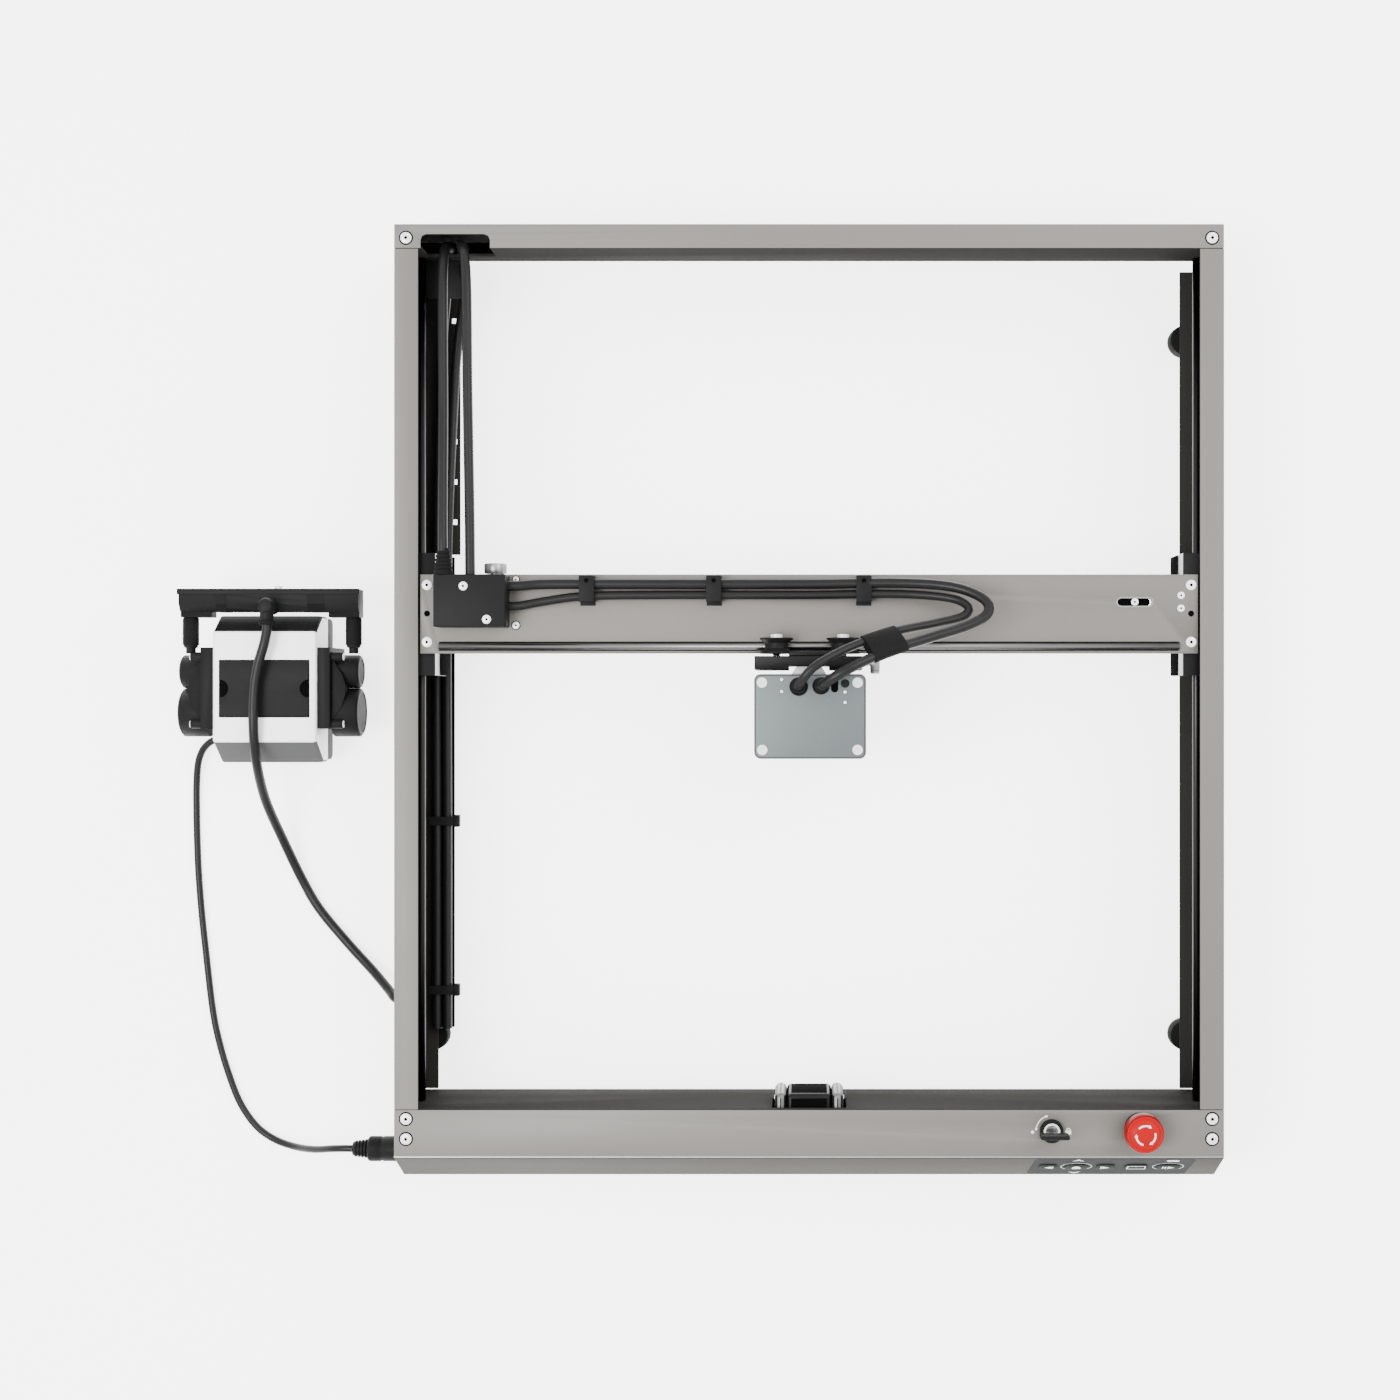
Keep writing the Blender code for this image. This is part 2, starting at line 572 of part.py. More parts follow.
def pump_unit(pump):
    """Air pump: a moulded body with a diaphragm head on each side and a manifold behind."""
    half = PUMP_HALF_W
    shell = [(-47.5, 26), (-47.5, 38), (-32, 60), (46, 60), (58, 42), (58, 26)]
    prism("pump_cover", shell, 0, (-half, half), pump, "white_plastic")
    base_outline = [(-43, 6), (-46, 10), (-46, 25.7), (57, 25.7), (57, 10), (54, 6)]
    base = prism("pump_base", base_outline, 0, (-half + 1, half - 1), pump, "black_plastic")
    added = [lathe("gland_helper", [(5, -2), (4, 7)], "-X", (-half + 1, -31, 12), pump, None, 12)]
    for i, (x, y) in enumerate(((-28, -28), (28, -28), (-28, 44), (28, 44))):
        added.append(lathe(f"pump_foot_{i}", [(5, 0), (6, 7)], "+Z", (x, y, 0), pump, None, 12))
    join(base, *added)
    for side, word in ((-1, "left"), (1, "right")):
        block = box(f"pump_head_{word}", (half + GAP, half + 9), (-23, 35), (12, 58), pump, "black_plastic")
        small = lathe(f"small_lobe_{word}", [(12, 8), (12, 26), (11, 27)], "+X", (half, 18, 38),
                      pump, None, 20)
        large = lathe(f"large_lobe_{word}", [(17.5, 8), (17.5, 26), (16.5, 27)], "+X", (half, -11.5, 36),
                      pump, None, 24)
        join(block, small, large)
        if side < 0:
            for piece in (block, small, large):
                piece.rotation_euler = (0, 0, math.pi)
                piece.location = Vector((-piece.location.x, piece.location.y, piece.location.z))
                piece.data.transform(Matrix.Scale(-1, 4, (0, 1, 0)))
                piece.data.flip_normals()
    bar = [(60.4, 44), (60.4, 58), (66, 62), (76.4, 62), (76.4, 44)]
    manifold = prism("air_manifold", bar, 0, MANIFOLD_X, pump, "black_plastic")
    outlet = lathe("outlet_helper", [(5.8, -5), (5.8, 12), (4.6, 15.5)], "+Z", (OUTLET_X, 64, 60), pump, None, 20)
    spout = lathe("spout_helper", [(4.8, 0), (4.8, 12)], "-Y", (OUTLET_X, 64, 70), pump, None, 16)
    added = []
    for number, (low, high, arm_x) in enumerate((
        (MANIFOLD_X[0], MANIFOLD_X[0] + MANIFOLD_END, ARM_X[0]),
        (MANIFOLD_X[1] - MANIFOLD_END, MANIFOLD_X[1], ARM_X[1]),
    )):
        added.append(box(f"manifold_end_{number}", (low, high), (56.5, 62), (44, 57), pump, None))
        added.append(lathe(f"arm_helper_{number}", [(5, 0), (5, 24.5), (3.5, 25.5), (3.5, 29.2)], "-Y",
                           (arm_x, 60, 50), pump, None, 14))
    join(manifold, outlet, spout, *added)


def free_cords(layout):
    """The air hose and the pump's lead, from the pump over the floor to the machine."""
    tube("air_hose",
         [(-298, 57.5, 70), (-298, 52, 70.2), (-300, 42, 70.5), (-304.5, 28, 69), (-307.6, 10.6, 67.5),
          (-308.2, -16, 67), (-308.5, -41, 58), (-308, -69, 36), (-301, -99, 15), (-289, -130, 5),
          (-277, -151, 3.8), (-256.5, -175.5, 4.5), (-236, -196, 10), (-223, -208, 19),
          (-216, -213.9, 26), (-209.2, -214, 26)],
         HOSE_D, layout, "cord", 12)
    tube("pump_lead",
         [(-346.8, -25, 12), (-353.5, -26.3, 11.5), (-359.5, -30.5, 10), (-363.8, -37, 8),
          (-366.4, -45.5, 6), (-368, -60, 3.6), (-368.2, -75, 2.9), (-367.9, -93.4, 2.9),
          (-366.9, -120.8, 2.9), (-364.9, -148.2, 2.9), (-362.1, -175.6, 2.9), (-356.4, -224.4, 2.9),
          (-351.2, -250.3, 2.9), (-344, -274.3, 2.9), (-335.7, -295, 2.9), (-324.2, -311.5, 2.9),
          (-310.8, -321, 4), (-294, -325, 11), (-276, -324, 25), (-260, -321, 36), (-250, -320, 39.7),
          (-244.6, -320, 40)],
         LEAD_D, layout, "cord", 12)
    wall = MACHINE_X - HALF_W
    plug = [(8.8, GAP), (9, 1), (9, 28), (6.9, 28), (6.9, 36.6), (5, 36.6), (5, 40.4)]
    lathe("pump_plug", plug, "-X", (wall, *PLUG), layout, "black_plastic", 20)


def main():
    clear_scene()
    layout = empty("layout", (LAYOUT_X, 0, 0))
    machine = empty("machine", (MACHINE_X, 0, 0), layout)
    pump = empty("pump", (PUMP[0], PUMP[1], 0), layout)
    side_rails(machine)
    rear_rail(machine)
    front_housing(machine)
    feet(machine)
    y_drive(machine)
    controls(machine)
    panel_keys(machine)
    ports(machine)
    gantry(machine)
    wheels(machine)
    laser_head(machine)
    held_cables(machine)
    pump_unit(pump)
    free_cords(layout)
    bpy.context.view_layer.update()


main()
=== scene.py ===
"""Looks of a desktop laser cutter with its air pump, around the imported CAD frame."""
import math

import bmesh
import bpy
from mathutils import Matrix, Vector
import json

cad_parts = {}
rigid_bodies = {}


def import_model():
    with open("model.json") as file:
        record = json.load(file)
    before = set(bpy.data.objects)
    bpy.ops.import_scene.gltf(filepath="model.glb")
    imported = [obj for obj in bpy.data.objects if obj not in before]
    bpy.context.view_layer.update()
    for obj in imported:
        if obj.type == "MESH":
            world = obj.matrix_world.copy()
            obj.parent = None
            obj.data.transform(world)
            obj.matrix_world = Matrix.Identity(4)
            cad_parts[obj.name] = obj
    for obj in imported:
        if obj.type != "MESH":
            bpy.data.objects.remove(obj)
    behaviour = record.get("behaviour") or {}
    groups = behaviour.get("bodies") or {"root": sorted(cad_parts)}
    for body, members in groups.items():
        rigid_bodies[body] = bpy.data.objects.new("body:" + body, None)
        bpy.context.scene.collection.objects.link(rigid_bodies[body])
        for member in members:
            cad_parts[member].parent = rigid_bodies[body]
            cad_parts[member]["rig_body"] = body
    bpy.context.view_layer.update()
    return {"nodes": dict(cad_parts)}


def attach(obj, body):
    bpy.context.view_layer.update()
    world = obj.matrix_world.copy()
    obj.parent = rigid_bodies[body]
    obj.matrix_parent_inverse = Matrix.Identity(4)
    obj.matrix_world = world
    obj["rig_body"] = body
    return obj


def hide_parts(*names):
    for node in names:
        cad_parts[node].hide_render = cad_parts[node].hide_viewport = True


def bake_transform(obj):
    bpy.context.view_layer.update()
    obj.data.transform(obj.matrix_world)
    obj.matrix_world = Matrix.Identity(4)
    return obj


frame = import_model()

# Driving sizes, in millimetres. LAYOUT_X moves everything, and MACHINE_X is the machine's own middle.
MM = 0.001
LAYOUT_X = -3.5
MACHINE_X = LAYOUT_X + 85.0
HALF_W = 288.5
TOP_Z = 92.0
FOLD = (-314.8, 92.0)  # the front slope runs from here
NOSE = (-334.3, 58.0)  # down to here, as y and z
GANTRY_TOP = 89.0
GANTRY_REAR_Y = 91.0
BRACKET_X = 266.1  # where the gantry's screws stand over its end brackets
BOX_TOP = 110.0
CORD_SIDES = 16
EPS = 0.05  # how far a printed mark stands off what it is on

# How far the camera stands over the desk, and where it looks, in metres.
CAMERA_Z = 1.467
VIEW_Y = 0.0035
FIELD = 0.973  # width seen at the height of the frame's top
SENSOR = 36.0
VIEW_SHIFT = -0.0779  # puts the pump in the view, as a share of its width
SKY = 2.3  # strength of the even light from all round
FLOOR_SIZE = 12.0
FLOOR_GLOW = 3.0


# Camera and light -----------------------------------------


def make_camera():
    """A camera straight over the machine's middle."""
    data = bpy.data.cameras.new("camera")
    data.sensor_width = SENSOR
    data.lens = SENSOR * (CAMERA_Z - TOP_Z * MM) / FIELD
    data.shift_x = VIEW_SHIFT
    data.clip_end = 20
    camera = bpy.data.objects.new("camera", data)
    camera.location = (MACHINE_X * MM, VIEW_Y, CAMERA_Z)
    bpy.context.scene.collection.objects.link(camera)
    bpy.context.scene.camera = camera


def area_light(name, place, size, power):
    """A round soft light that looks at the middle of the desk."""
    data = bpy.data.lights.new(name, "AREA")
    data.shape = "DISK"
    data.size = size
    data.energy = power
    light = bpy.data.objects.new(name, data)
    light.location = place
    light.rotation_euler = (-Vector(place)).to_track_quat("-Z", "Y").to_euler()
    bpy.context.scene.collection.objects.link(light)


def make_studio():
    """Even white light from all round, with two large soft lamps."""
    world = bpy.data.worlds.new("studio")
    world.use_nodes = True
    back = world.node_tree.nodes["Background"]
    back.inputs["Color"].default_value = (1, 1, 1, 1)
    back.inputs["Strength"].default_value = SKY
    bpy.context.scene.world = world
    area_light("key", (-0.9, -0.2, 1.9), 1.1, 56)
    area_light("fill", (1.2, 0.7, 1.6), 1.4, 28)


# Materials ------------------------------------------------


class Nodes:
    """Adds nodes to one material and links them by name."""

    def __init__(self, name):
        self.made = bpy.data.materials.new(name)
        self.made.use_nodes = True
        self.tree = self.made.node_tree
        self.shader = self.tree.nodes["Principled BSDF"]
        self.coords = self.tree.nodes.new("ShaderNodeTexCoord").outputs["Object"]

    def add(self, kind, inputs, **settings):
        node = self.tree.nodes.new(kind)
        for key, value in settings.items():
            setattr(node, key, value)
        for key, value in inputs.items():
            if isinstance(value, bpy.types.NodeSocket):
                self.tree.links.new(value, node.inputs[key])
            else:
                node.inputs[key].default_value = value
        return node

    def stretched(self, scale):
        return self.add("ShaderNodeMapping", {"Vector": self.coords, "Scale": scale}).outputs["Vector"]

    def noise(self, scale, detail=3.0, stretch=(1, 1, 1), roughness=0.55):
        node = self.add("ShaderNodeTexNoise", {"Vector": self.stretched(stretch), "Scale": scale,
                                               "Detail": detail, "Roughness": roughness})
        return node.outputs["Fac"]

    def between(self, factor, low, high, start=0.3, end=0.7):
        node = self.add("ShaderNodeMapRange", {"Value": factor, "From Min": start, "From Max": end,
                                               "To Min": low, "To Max": high})
        return node.outputs["Result"]

    def mix(self, factor, first, second):
        ramp = self.add("ShaderNodeMix", {}, data_type="RGBA")
        for socket, value in ((ramp.inputs[0], factor), (ramp.inputs[6], first), (ramp.inputs[7], second)):
            if isinstance(value, bpy.types.NodeSocket):
                self.tree.links.new(value, socket)
            else:
                socket.default_value = (*value, 1)
        return ramp.outputs[2]

    def bump(self, height, distance):
        inputs = {"Height": height, "Distance": distance, "Strength": 1.0}
        return self.add("ShaderNodeBump", inputs).outputs["Normal"]

    def wire(self, **sockets):
        for name, value in sockets.items():
            socket = self.shader.inputs[name.replace("_", " ")]
            if isinstance(value, bpy.types.NodeSocket):
                self.tree.links.new(value, socket)
            else:
                socket.default_value = value
        return self.made


def shade(colour, by):
    """A lighter or darker version of a colour."""
    return tuple(min(1.0, c * by) for c in colour)


def grey(value, blue=0.0):
    """A grey with a little more or less blue."""
    return (value, value, value + blue)


def grained(name, colour, roughness, grain, depth, vary, patch, metallic=0.0, coat=0.0, specular=0.5,
            ior=1.5):
    """A finish with soft patches, a fine grain in colour and roughness, and a shallow bump."""
    n = Nodes(name)
    patches = n.noise(patch, 4.0)
    fine = n.noise(grain, 2.0)
    base = n.mix(n.between(patches, 0, 1), shade(colour, 1 - vary), shade(colour, 1 + vary))
    speckled = n.mix(n.between(fine, 0, 1, 0.42, 0.75), base, shade(colour, 1 + 2 * vary))
    rubbed = n.between(patches, roughness * 0.88, min(1.0, roughness * 1.14))
    normal = n.bump(fine, depth)
    return n.wire(Base_Color=speckled, Roughness=rubbed, Metallic=metallic, Normal=normal,
                  Coat_Weight=coat, Specular_IOR_Level=specular, IOR=ior)


def brushed(name, colour, roughness, stretch, metallic=1.0):
    """Drawn or ground metal: long fine lines along one direction."""
    n = Nodes(name)
    lines = n.noise(420.0, 3.0, stretch, 0.7)
    worn = n.noise(22.0, 4.0)
    base = n.mix(n.between(lines, 0, 1), shade(colour, 0.9), shade(colour, 1.08))
    dulled = n.mix(n.between(worn, 0, 0.4, 0.45, 0.8), base, shade(colour, 0.8))
    rough = n.between(lines, roughness * 0.8, roughness * 1.3)
    return n.wire(Base_Color=dulled, Roughness=rough, Metallic=metallic, Normal=n.bump(lines, 0.000004))


def make_looks():
    """Every finish, by name."""
    along_x, along_y, along_z = (0.02, 1, 1), (1, 0.02, 1), (1, 1, 0.02)
    paint = (0.125, 0.1185, 0.108)
    looks = {
        "paint": grained("powder_coat", paint, 0.52, 1500, 0.00005, 0.035, 6.0, specular=0.25,
                         metallic=0.25),
        # painted shade: the frame's paint at half brightness for the front slope, which lies in shade
        "paint_slope_painted_shade": grained("powder_coat_slope_painted_shade", shade(paint, 0.50), 0.55, 1500, 0.00005, 0.04, 6.0,
                               ior=1.06),
        # painted shade: a darker copy of the frame's paint for faces turned inward or down
        "paint_shade": grained("powder_coat_painted_shade", (0.020, 0.0192, 0.0178), 0.7, 1500, 0.00005, 0.10,
                               9.0, ior=1.05),
        "black": grained("black_moulding", grey(0.0062, 0.0002), 0.5, 1300, 0.00010, 0.14, 22.0, ior=1.16),
        "black_metal": grained("black_paint", grey(0.0055, 0.0002), 0.42, 1700, 0.00004, 0.12, 18.0,
                               specular=0.10, metallic=0.1),
        # painted shade: near black for holes, slots, gaps and recess floors; the motor's can also takes it
        # as its own black
        "deep": grained("black_and_painted_recess_shade", grey(0.002), 0.8, 900, 0.00005, 0.2, 20.0, ior=1.03),
        "rubber": grained("rubber", grey(0.0045), 0.8, 700, 0.00012, 0.18, 30.0, specular=0.08),
        "jacket": grained("cord_jacket", grey(0.0060, 0.0002), 0.36, 1100, 0.00008, 0.12, 26.0,
                          specular=0.16),
        # also the painted shade on the pump manifold's facets
        "shrink": grained("heat_shrink_and_painted_shade", grey(0.0035, 0.0002), 0.6, 800, 0.00014, 0.15, 30.0,
                          specular=0.08),
        "white": grained("white_moulding", grey(0.88, 0.005), 0.34, 1300, 0.00003, 0.02, 8.0, coat=0.25),
        # painted shade for the pump cover's front faces; also the grey rims of the pump head discs
        "grey_and_painted_shade": grained("pump_grey_and_painted_shade", grey(0.064, 0.001), 0.38, 1300, 0.00004, 0.05, 8.0, ior=1.12),
        "ink": grained("white_print", grey(0.60), 0.5, 600, 0.00001, 0.04, 30.0),
        "overlay": grained("panel_overlay", (0.028, 0.0292, 0.0292), 0.45, 1200, 0.00003, 0.05, 12.0,
                           ior=1.04),
        "key": grained("panel_key", (0.026, 0.0272, 0.0272), 0.45, 1200, 0.00003, 0.06, 20.0, ior=1.04),
        "red": grained("red_moulding", (0.29, 0.0009, 0.0026), 0.34, 900, 0.00002, 0.06, 26.0,
                       specular=0.06),
        # painted shade: a darker copy of the red for the stop button's skirt and rim
        "red_painted_shade": grained("red_moulding_painted_shade", (0.14, 0.0006, 0.002), 0.4, 900, 0.00002, 0.06, 26.0,
                             specular=0.06),
        "lid": grained("head_anodising", (0.088, 0.100, 0.102), 0.44, 1600, 0.00004, 0.04, 9.0,
                       specular=0.25, metallic=0.35),
        "fins": brushed("head_casting", (0.030, 0.031, 0.032), 0.42, along_x, 0.6),
        "steel_x": brushed("ground_steel_x", (0.16, 0.157, 0.155), 0.24, along_x),
        "rod": brushed("worn_steel_rod", (0.15, 0.148, 0.146), 0.3, along_x),
        "steel_y": brushed("blackened_steel_y", grey(0.024, 0.0005), 0.34, along_y),
        # silver also paints the highlight strip along the front fold
        "silver": brushed("silver_anodising", grey(0.27, 0.005), 0.34, along_z, 0.85),
        # painted highlight: the grey on the chamfers of the motor's end plates
        "cap": brushed("motor_cap_painted_highlight", grey(0.11, 0.002), 0.4, along_z, 0.7),
        "screw": brushed("screw_zinc", grey(0.80, -0.01), 0.36, along_x, 0.25),
    }
    shield = Nodes("tinted_shield")
    haze = shield.noise(35.0, 4.0)
    tint = shield.mix(shield.between(haze, 0, 1), (0.70, 0.17, 0.02), (0.86, 0.28, 0.05))
    scratches = shield.noise(260.0, 3.0, (0.05, 1, 1))
    looks["shield"] = shield.wire(Base_Color=tint, Roughness=shield.between(haze, 0.08, 0.2),
                                  Transmission_Weight=0.85, IOR=1.49, Normal=shield.bump(scratches, 0.00001))
    return looks


# Shapes ---------------------------------------------------


def add_piece(name, shape, look, body, place=(0, 0, 0), turn=None, sharp=35.0, stands_for=(), slot=None):
    """A piece from a bmesh drawn in millimetres, put at a place in millimetres and riding on a body.
    A look is one name, or a list where the shape's faces choose. slot is not used."""
    bmesh.ops.scale(shape, vec=(MM, MM, MM), verts=shape.verts)
    mesh = bpy.data.meshes.new(name)
    shape.to_mesh(mesh)
    shape.free()
    mesh.shade_smooth()
    mesh.set_sharp_from_angle(angle=math.radians(sharp))
    for one in look if isinstance(look, list) else [look]:
        mesh.materials.append(LOOKS[one])
    return put(name, mesh, body, place, turn, stands_for)


def put(name, data, body, place=(0, 0, 0), turn=None, stands_for=()):
    """Puts finished geometry in the scene, on its body, in place of the CAD nodes it stands for."""
    piece = bpy.data.objects.new(name, data)
    bpy.context.scene.collection.objects.link(piece)
    piece.location = Vector(place) * MM
    if turn:
        piece.rotation_euler = turn.to_euler()
    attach(piece, body)
    if stands_for:
        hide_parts(*stands_for)
    return piece


SLOTS = {"black": "black_plastic", "shrink": "black_plastic", "rubber": "black_plastic",
         "deep": "black_metal", "black_metal": "black_metal", "screw": "steel", "silver": "silver",
         "ink": "white_plastic", "jacket": "cord", "fins": "head_grey", "lid": "head_grey"}


def at(x, y, z):
    """A place given from the machine's own middle."""
    return (x + MACHINE_X, y, z)


ORIGIN = at(0, 0, 0)
SIDES = ((-1, "left", "-X"), (1, "right", "+X"))  # sign of x, word for names, way it faces


def soften(shape, width, segments=3, angle=30.0):
    """Rounds every edge sharper than an angle."""
    edges = [e for e in shape.edges if len(e.link_faces) == 2 and e.calc_face_angle(0) > math.radians(angle)]
    bmesh.ops.bevel(shape, geom=edges, offset=width, segments=segments, profile=0.5, affect="EDGES",
                    clamp_overlap=True)
    return shape


def block(xs, ys, zs, radius):
    """A box between two values on each axis, with its edges rounded."""
    shape = bmesh.new()
    bmesh.ops.create_cube(shape, size=1)
    bmesh.ops.scale(shape, vec=(xs[1] - xs[0], ys[1] - ys[0], zs[1] - zs[0]), verts=shape.verts)
    bmesh.ops.translate(shape, vec=(sum(xs) / 2, sum(ys) / 2, sum(zs) / 2), verts=shape.verts)
    return soften(shape, radius)


def pushed_out(corners, way):
    """A solid swept from one flat face along a straight way."""
    shape = bmesh.new()
    face = shape.faces.new([shape.verts.new(p) for p in corners])
    pushed = bmesh.ops.extrude_face_region(shape, geom=[face])
    moved = [v for v in pushed["geom"] if isinstance(v, bmesh.types.BMVert)]
    bmesh.ops.translate(shape, vec=way, verts=moved)
    bmesh.ops.recalc_face_normals(shape, faces=shape.faces)
    return shape


def slab(outline, low, high, radius=0.0):
    """An outline in x and y, made into a plate between two heights."""
    shape = pushed_out([(x, y, low) for x, y in outline], (0, 0, high - low))
    return soften(shape, radius, angle=60) if radius else shape


def round_rect(xs, ys, radius, steps=6):
    """A rectangle's outline with round corners of so many steps each."""
    points = []
    for x, y, start in ((xs[1] - radius, ys[1] - radius, 0), (xs[0] + radius, ys[1] - radius, 90),
                        (xs[0] + radius, ys[0] + radius, 180), (xs[1] - radius, ys[0] + radius, 270)):
        for i in range(steps + 1):
            a = math.radians(start + 90 * i / steps)
            points.append((x + radius * math.cos(a), y + radius * math.sin(a)))
    return points


def polar(radius, angle):
    """The x and y of a point at an angle in radians."""
    return (radius * math.cos(angle), radius * math.sin(angle))


def circle(radius, sides):
    return [polar(radius, 2 * math.pi * i / sides) for i in range(sides)]


def arc_band(radius, width, start, end):
    """A curved band as an outline, between two angles in degrees."""
    steps = 14
    angles = [math.radians(start + (end - start) * i / steps) for i in range(steps + 1)]
    outer = [polar(radius + width / 2, a) for a in angles]
    return outer + [polar(radius - width / 2, a) for a in reversed(angles)]


def stack(rings, closed_ends=True):
    """A skin over rings of points that all have the same number of points."""
    shape = bmesh.new()
    made = [[shape.verts.new(p) for p in ring] for ring in rings]
    for low, high in zip(made, made[1:]):
        for i in range(len(low)):
            j = (i + 1) % len(low)
            shape.faces.new((low[i], low[j], high[j], high[i]))
    if closed_ends:
        shape.faces.new(list(reversed(made[0])))
        shape.faces.new(made[-1])
    bmesh.ops.recalc_face_normals(shape, faces=shape.faces)
    return shape


def turned(profile, sides=40, teeth=None):
    """A turned piece about Z from (radius, height) points.
    teeth knurls it: the first and the last ring to cut, and how deep."""
    rings = []
    for number, (radius, height) in enumerate(profile):
        cut = teeth[2] if teeth and teeth[0] <= number <= teeth[1] else 0.0
        rings.append([(*polar(radius - cut * (i % 2), 2 * math.pi * i / sides), height)
                      for i in range(sides)])
    return stack(rings)


TOWARDS = {
    "+Z": Matrix.Identity(3),
    "-Z": Matrix.Rotation(math.pi, 3, "X"),
    "+X": Matrix.Rotation(math.pi / 2, 3, "Y"),
    "-X": Matrix.Rotation(-math.pi / 2, 3, "Y"),
    "+Y": Matrix.Rotation(-math.pi / 2, 3, "X"),
    "-Y": Matrix.Rotation(math.pi / 2, 3, "X"),
}


def smooth_route(points):
    """Points a cord step apart on the Catmull-Rom curve through the given ones, all in millimetres."""
    ends = [Vector(p) for p in points]
    ends = [2 * ends[0] - ends[1], *ends, 2 * ends[-1] - ends[-2]]
    fine = []
    for a, b, c, d in zip(ends, ends[1:], ends[2:], ends[3:]):
        for i in range(24):
            t = i / 24
            fine.append(0.5 * (2 * b + (c - a) * t + (2 * a - 5 * b + 4 * c - d) * t**2
                               + (3 * b - a - 3 * c + d) * t**3))
    fine.append(ends[-2])
    total = sum((q - p).length for p, q in zip(fine, fine[1:]))
    count = max(2, round(total / CORD_STEP))
    route, walked, spacing = [fine[0]], 0.0, total / count
    for p, q in zip(fine, fine[1:]):
        length = (q - p).length
        while len(route) < count and walked + length >= spacing * len(route):
            route.append(p.lerp(q, (spacing * len(route) - walked) / length))
        walked += length
    route.append(fine[-1])
    return route


def carried_frames(route):
    """A side and an up direction at each point, turned as little as possible on the way."""
    frames = []
    ahead = (route[1] - route[0]).normalized()
    side = ahead.orthogonal().normalized()
    for i, point in enumerate(route):
        before, after = route[max(0, i - 1)], route[min(len(route) - 1, i + 1)]
        ahead = (after - before).normalized()
        side = (side - ahead * side.dot(ahead)).normalized()
        frames.append((point, side, ahead.cross(side)))
    return frames


def tube_shape(route, radius):
    """A round tube along a route."""
    ring = circle(radius, CORD_SIDES)
    return stack([[point + side * x + up * y for x, y in ring] for point, side, up in carried_frames(route)])


def flared(profile, sides):
    """An open skin about Z from (radius, height) points."""
    return stack([[(x, y, z) for x, y in circle(r, sides)] for r, z in profile], closed_ends=False)


def band(inner, outer, height):
    """A flat open ring between two outlines with the same number of points."""
    return stack([[(x, y, height) for x, y in outline] for outline in (inner, outer)], closed_ends=False)


def add_turned(name, profile, sides, look, body, place, towards="+Z", **more):
    """A turned piece that stands on a place and points one way."""
    return add_piece(name, turned(profile, sides), look, body, place, TOWARDS[towards], **more)


def add_box(name, xs, ys, zs, radius, look, body, place=ORIGIN, **more):
    """A box with softened edges, drawn around a place."""
    return add_piece(name, block(xs, ys, zs, radius), look, body, place, **more)


# Free cords -----------------------------------------------

HOSE_D = 7.0
LEAD_D = 5.2
CORD_STEP = 3.0  # between two points of a cord or a lead
PLUG = (LAYOUT_X - 204.1, -320.0, 40.0)
HOSE_ROUTE = [
    (-298, 57.5, 70), (-298, 52, 70.2), (-300, 42, 70.5), (-304.5, 28, 69), (-307.6, 10.6, 67.5),
    (-308.2, -16, 67), (-308.5, -41, 58), (-308, -69, 36), (-301, -99, 15), (-289, -130, 5),
    (-277, -151, 3.8), (-256.5, -175.5, 4.5), (-236, -196, 10), (-223, -208, 19), (-216, -213.9, 26),
    (-209.2, -214, 26),
]
LEAD_ROUTE = [
    (-346.8, -25, 12), (-353.5, -26.3, 11.5), (-359.5, -30.5, 10), (-363.8, -37, 8), (-366.4, -45.5, 6),
    (-368, -60, 3.6), (-368.2, -75, 2.9), (-367.9, -93.4, 2.9), (-366.9, -120.8, 2.9),
    (-364.9, -148.2, 2.9), (-362.1, -175.6, 2.9), (-356.4, -224.4, 2.9), (-351.2, -250.3, 2.9),
    (-344, -274.3, 2.9), (-335.7, -295, 2.9), (-324.2, -311.5, 2.9), (-310.8, -321, 4), (-294, -325, 11),
    (-276, -324, 25), (-260, -321, 36), (-250, -320, 39.7), (-244.6, -320, 40),
]


def free_cord(name, points, diameter, node):
    """A cord that lies free, from the pump to its far end."""
    route = smooth_route([(x + LAYOUT_X, y, z) for x, y, z in points])
    curve = bpy.data.curves.new(name, "CURVE")
    curve.dimensions = "3D"
    curve.bevel_depth = diameter / 2 * MM
    curve.bevel_resolution = 6
    curve.use_fill_caps = True
    spline = curve.splines.new("POLY")
    spline.points.add(len(route) - 1)
    for point, place in zip(spline.points, route):
        point.co = (*(place * MM), 1)
    spline.use_smooth = True
    curve.materials.append(LOOKS["jacket"])
    cord = put(name, curve, "frame", stands_for=(node,))


def make_cords():
    """The pump's hose and lead, with the plug on the lead."""
    ribs = [(8.2, 0.0), (9.0, 0.8), (9.0, 17.0), (8.6, 17.6), (8.6, 19.0), (9.0, 19.6), (9.0, 27.2),
            (8.2, 28.2), (6.9, 28.4)]
    for i in range(4):
        low = 29.2 + 2.4 * i
        ribs += [(5.2, low), (6.7 - 0.3 * i, low + 0.5), (6.7 - 0.3 * i, low + 1.5), (5.2, low + 2.0)]
    ribs += [(4.8, 39.6), (3.2, 39.9)]
    plug = add_turned("pump_plug_body", ribs, 40, "black", "frame", PLUG, "-X", stands_for=("pump_plug",))
    free_cord("air_hose_run", HOSE_ROUTE, HOSE_D, "air_hose")
    free_cord("pump_lead_run", LEAD_ROUTE, LEAD_D, "pump_lead")


# CAD nodes that show --------------------------------------

KEY_X = {"back": 168.0, "home": 188.0, "forward": 208.5, "frame": 230.0, "start": 252.5}


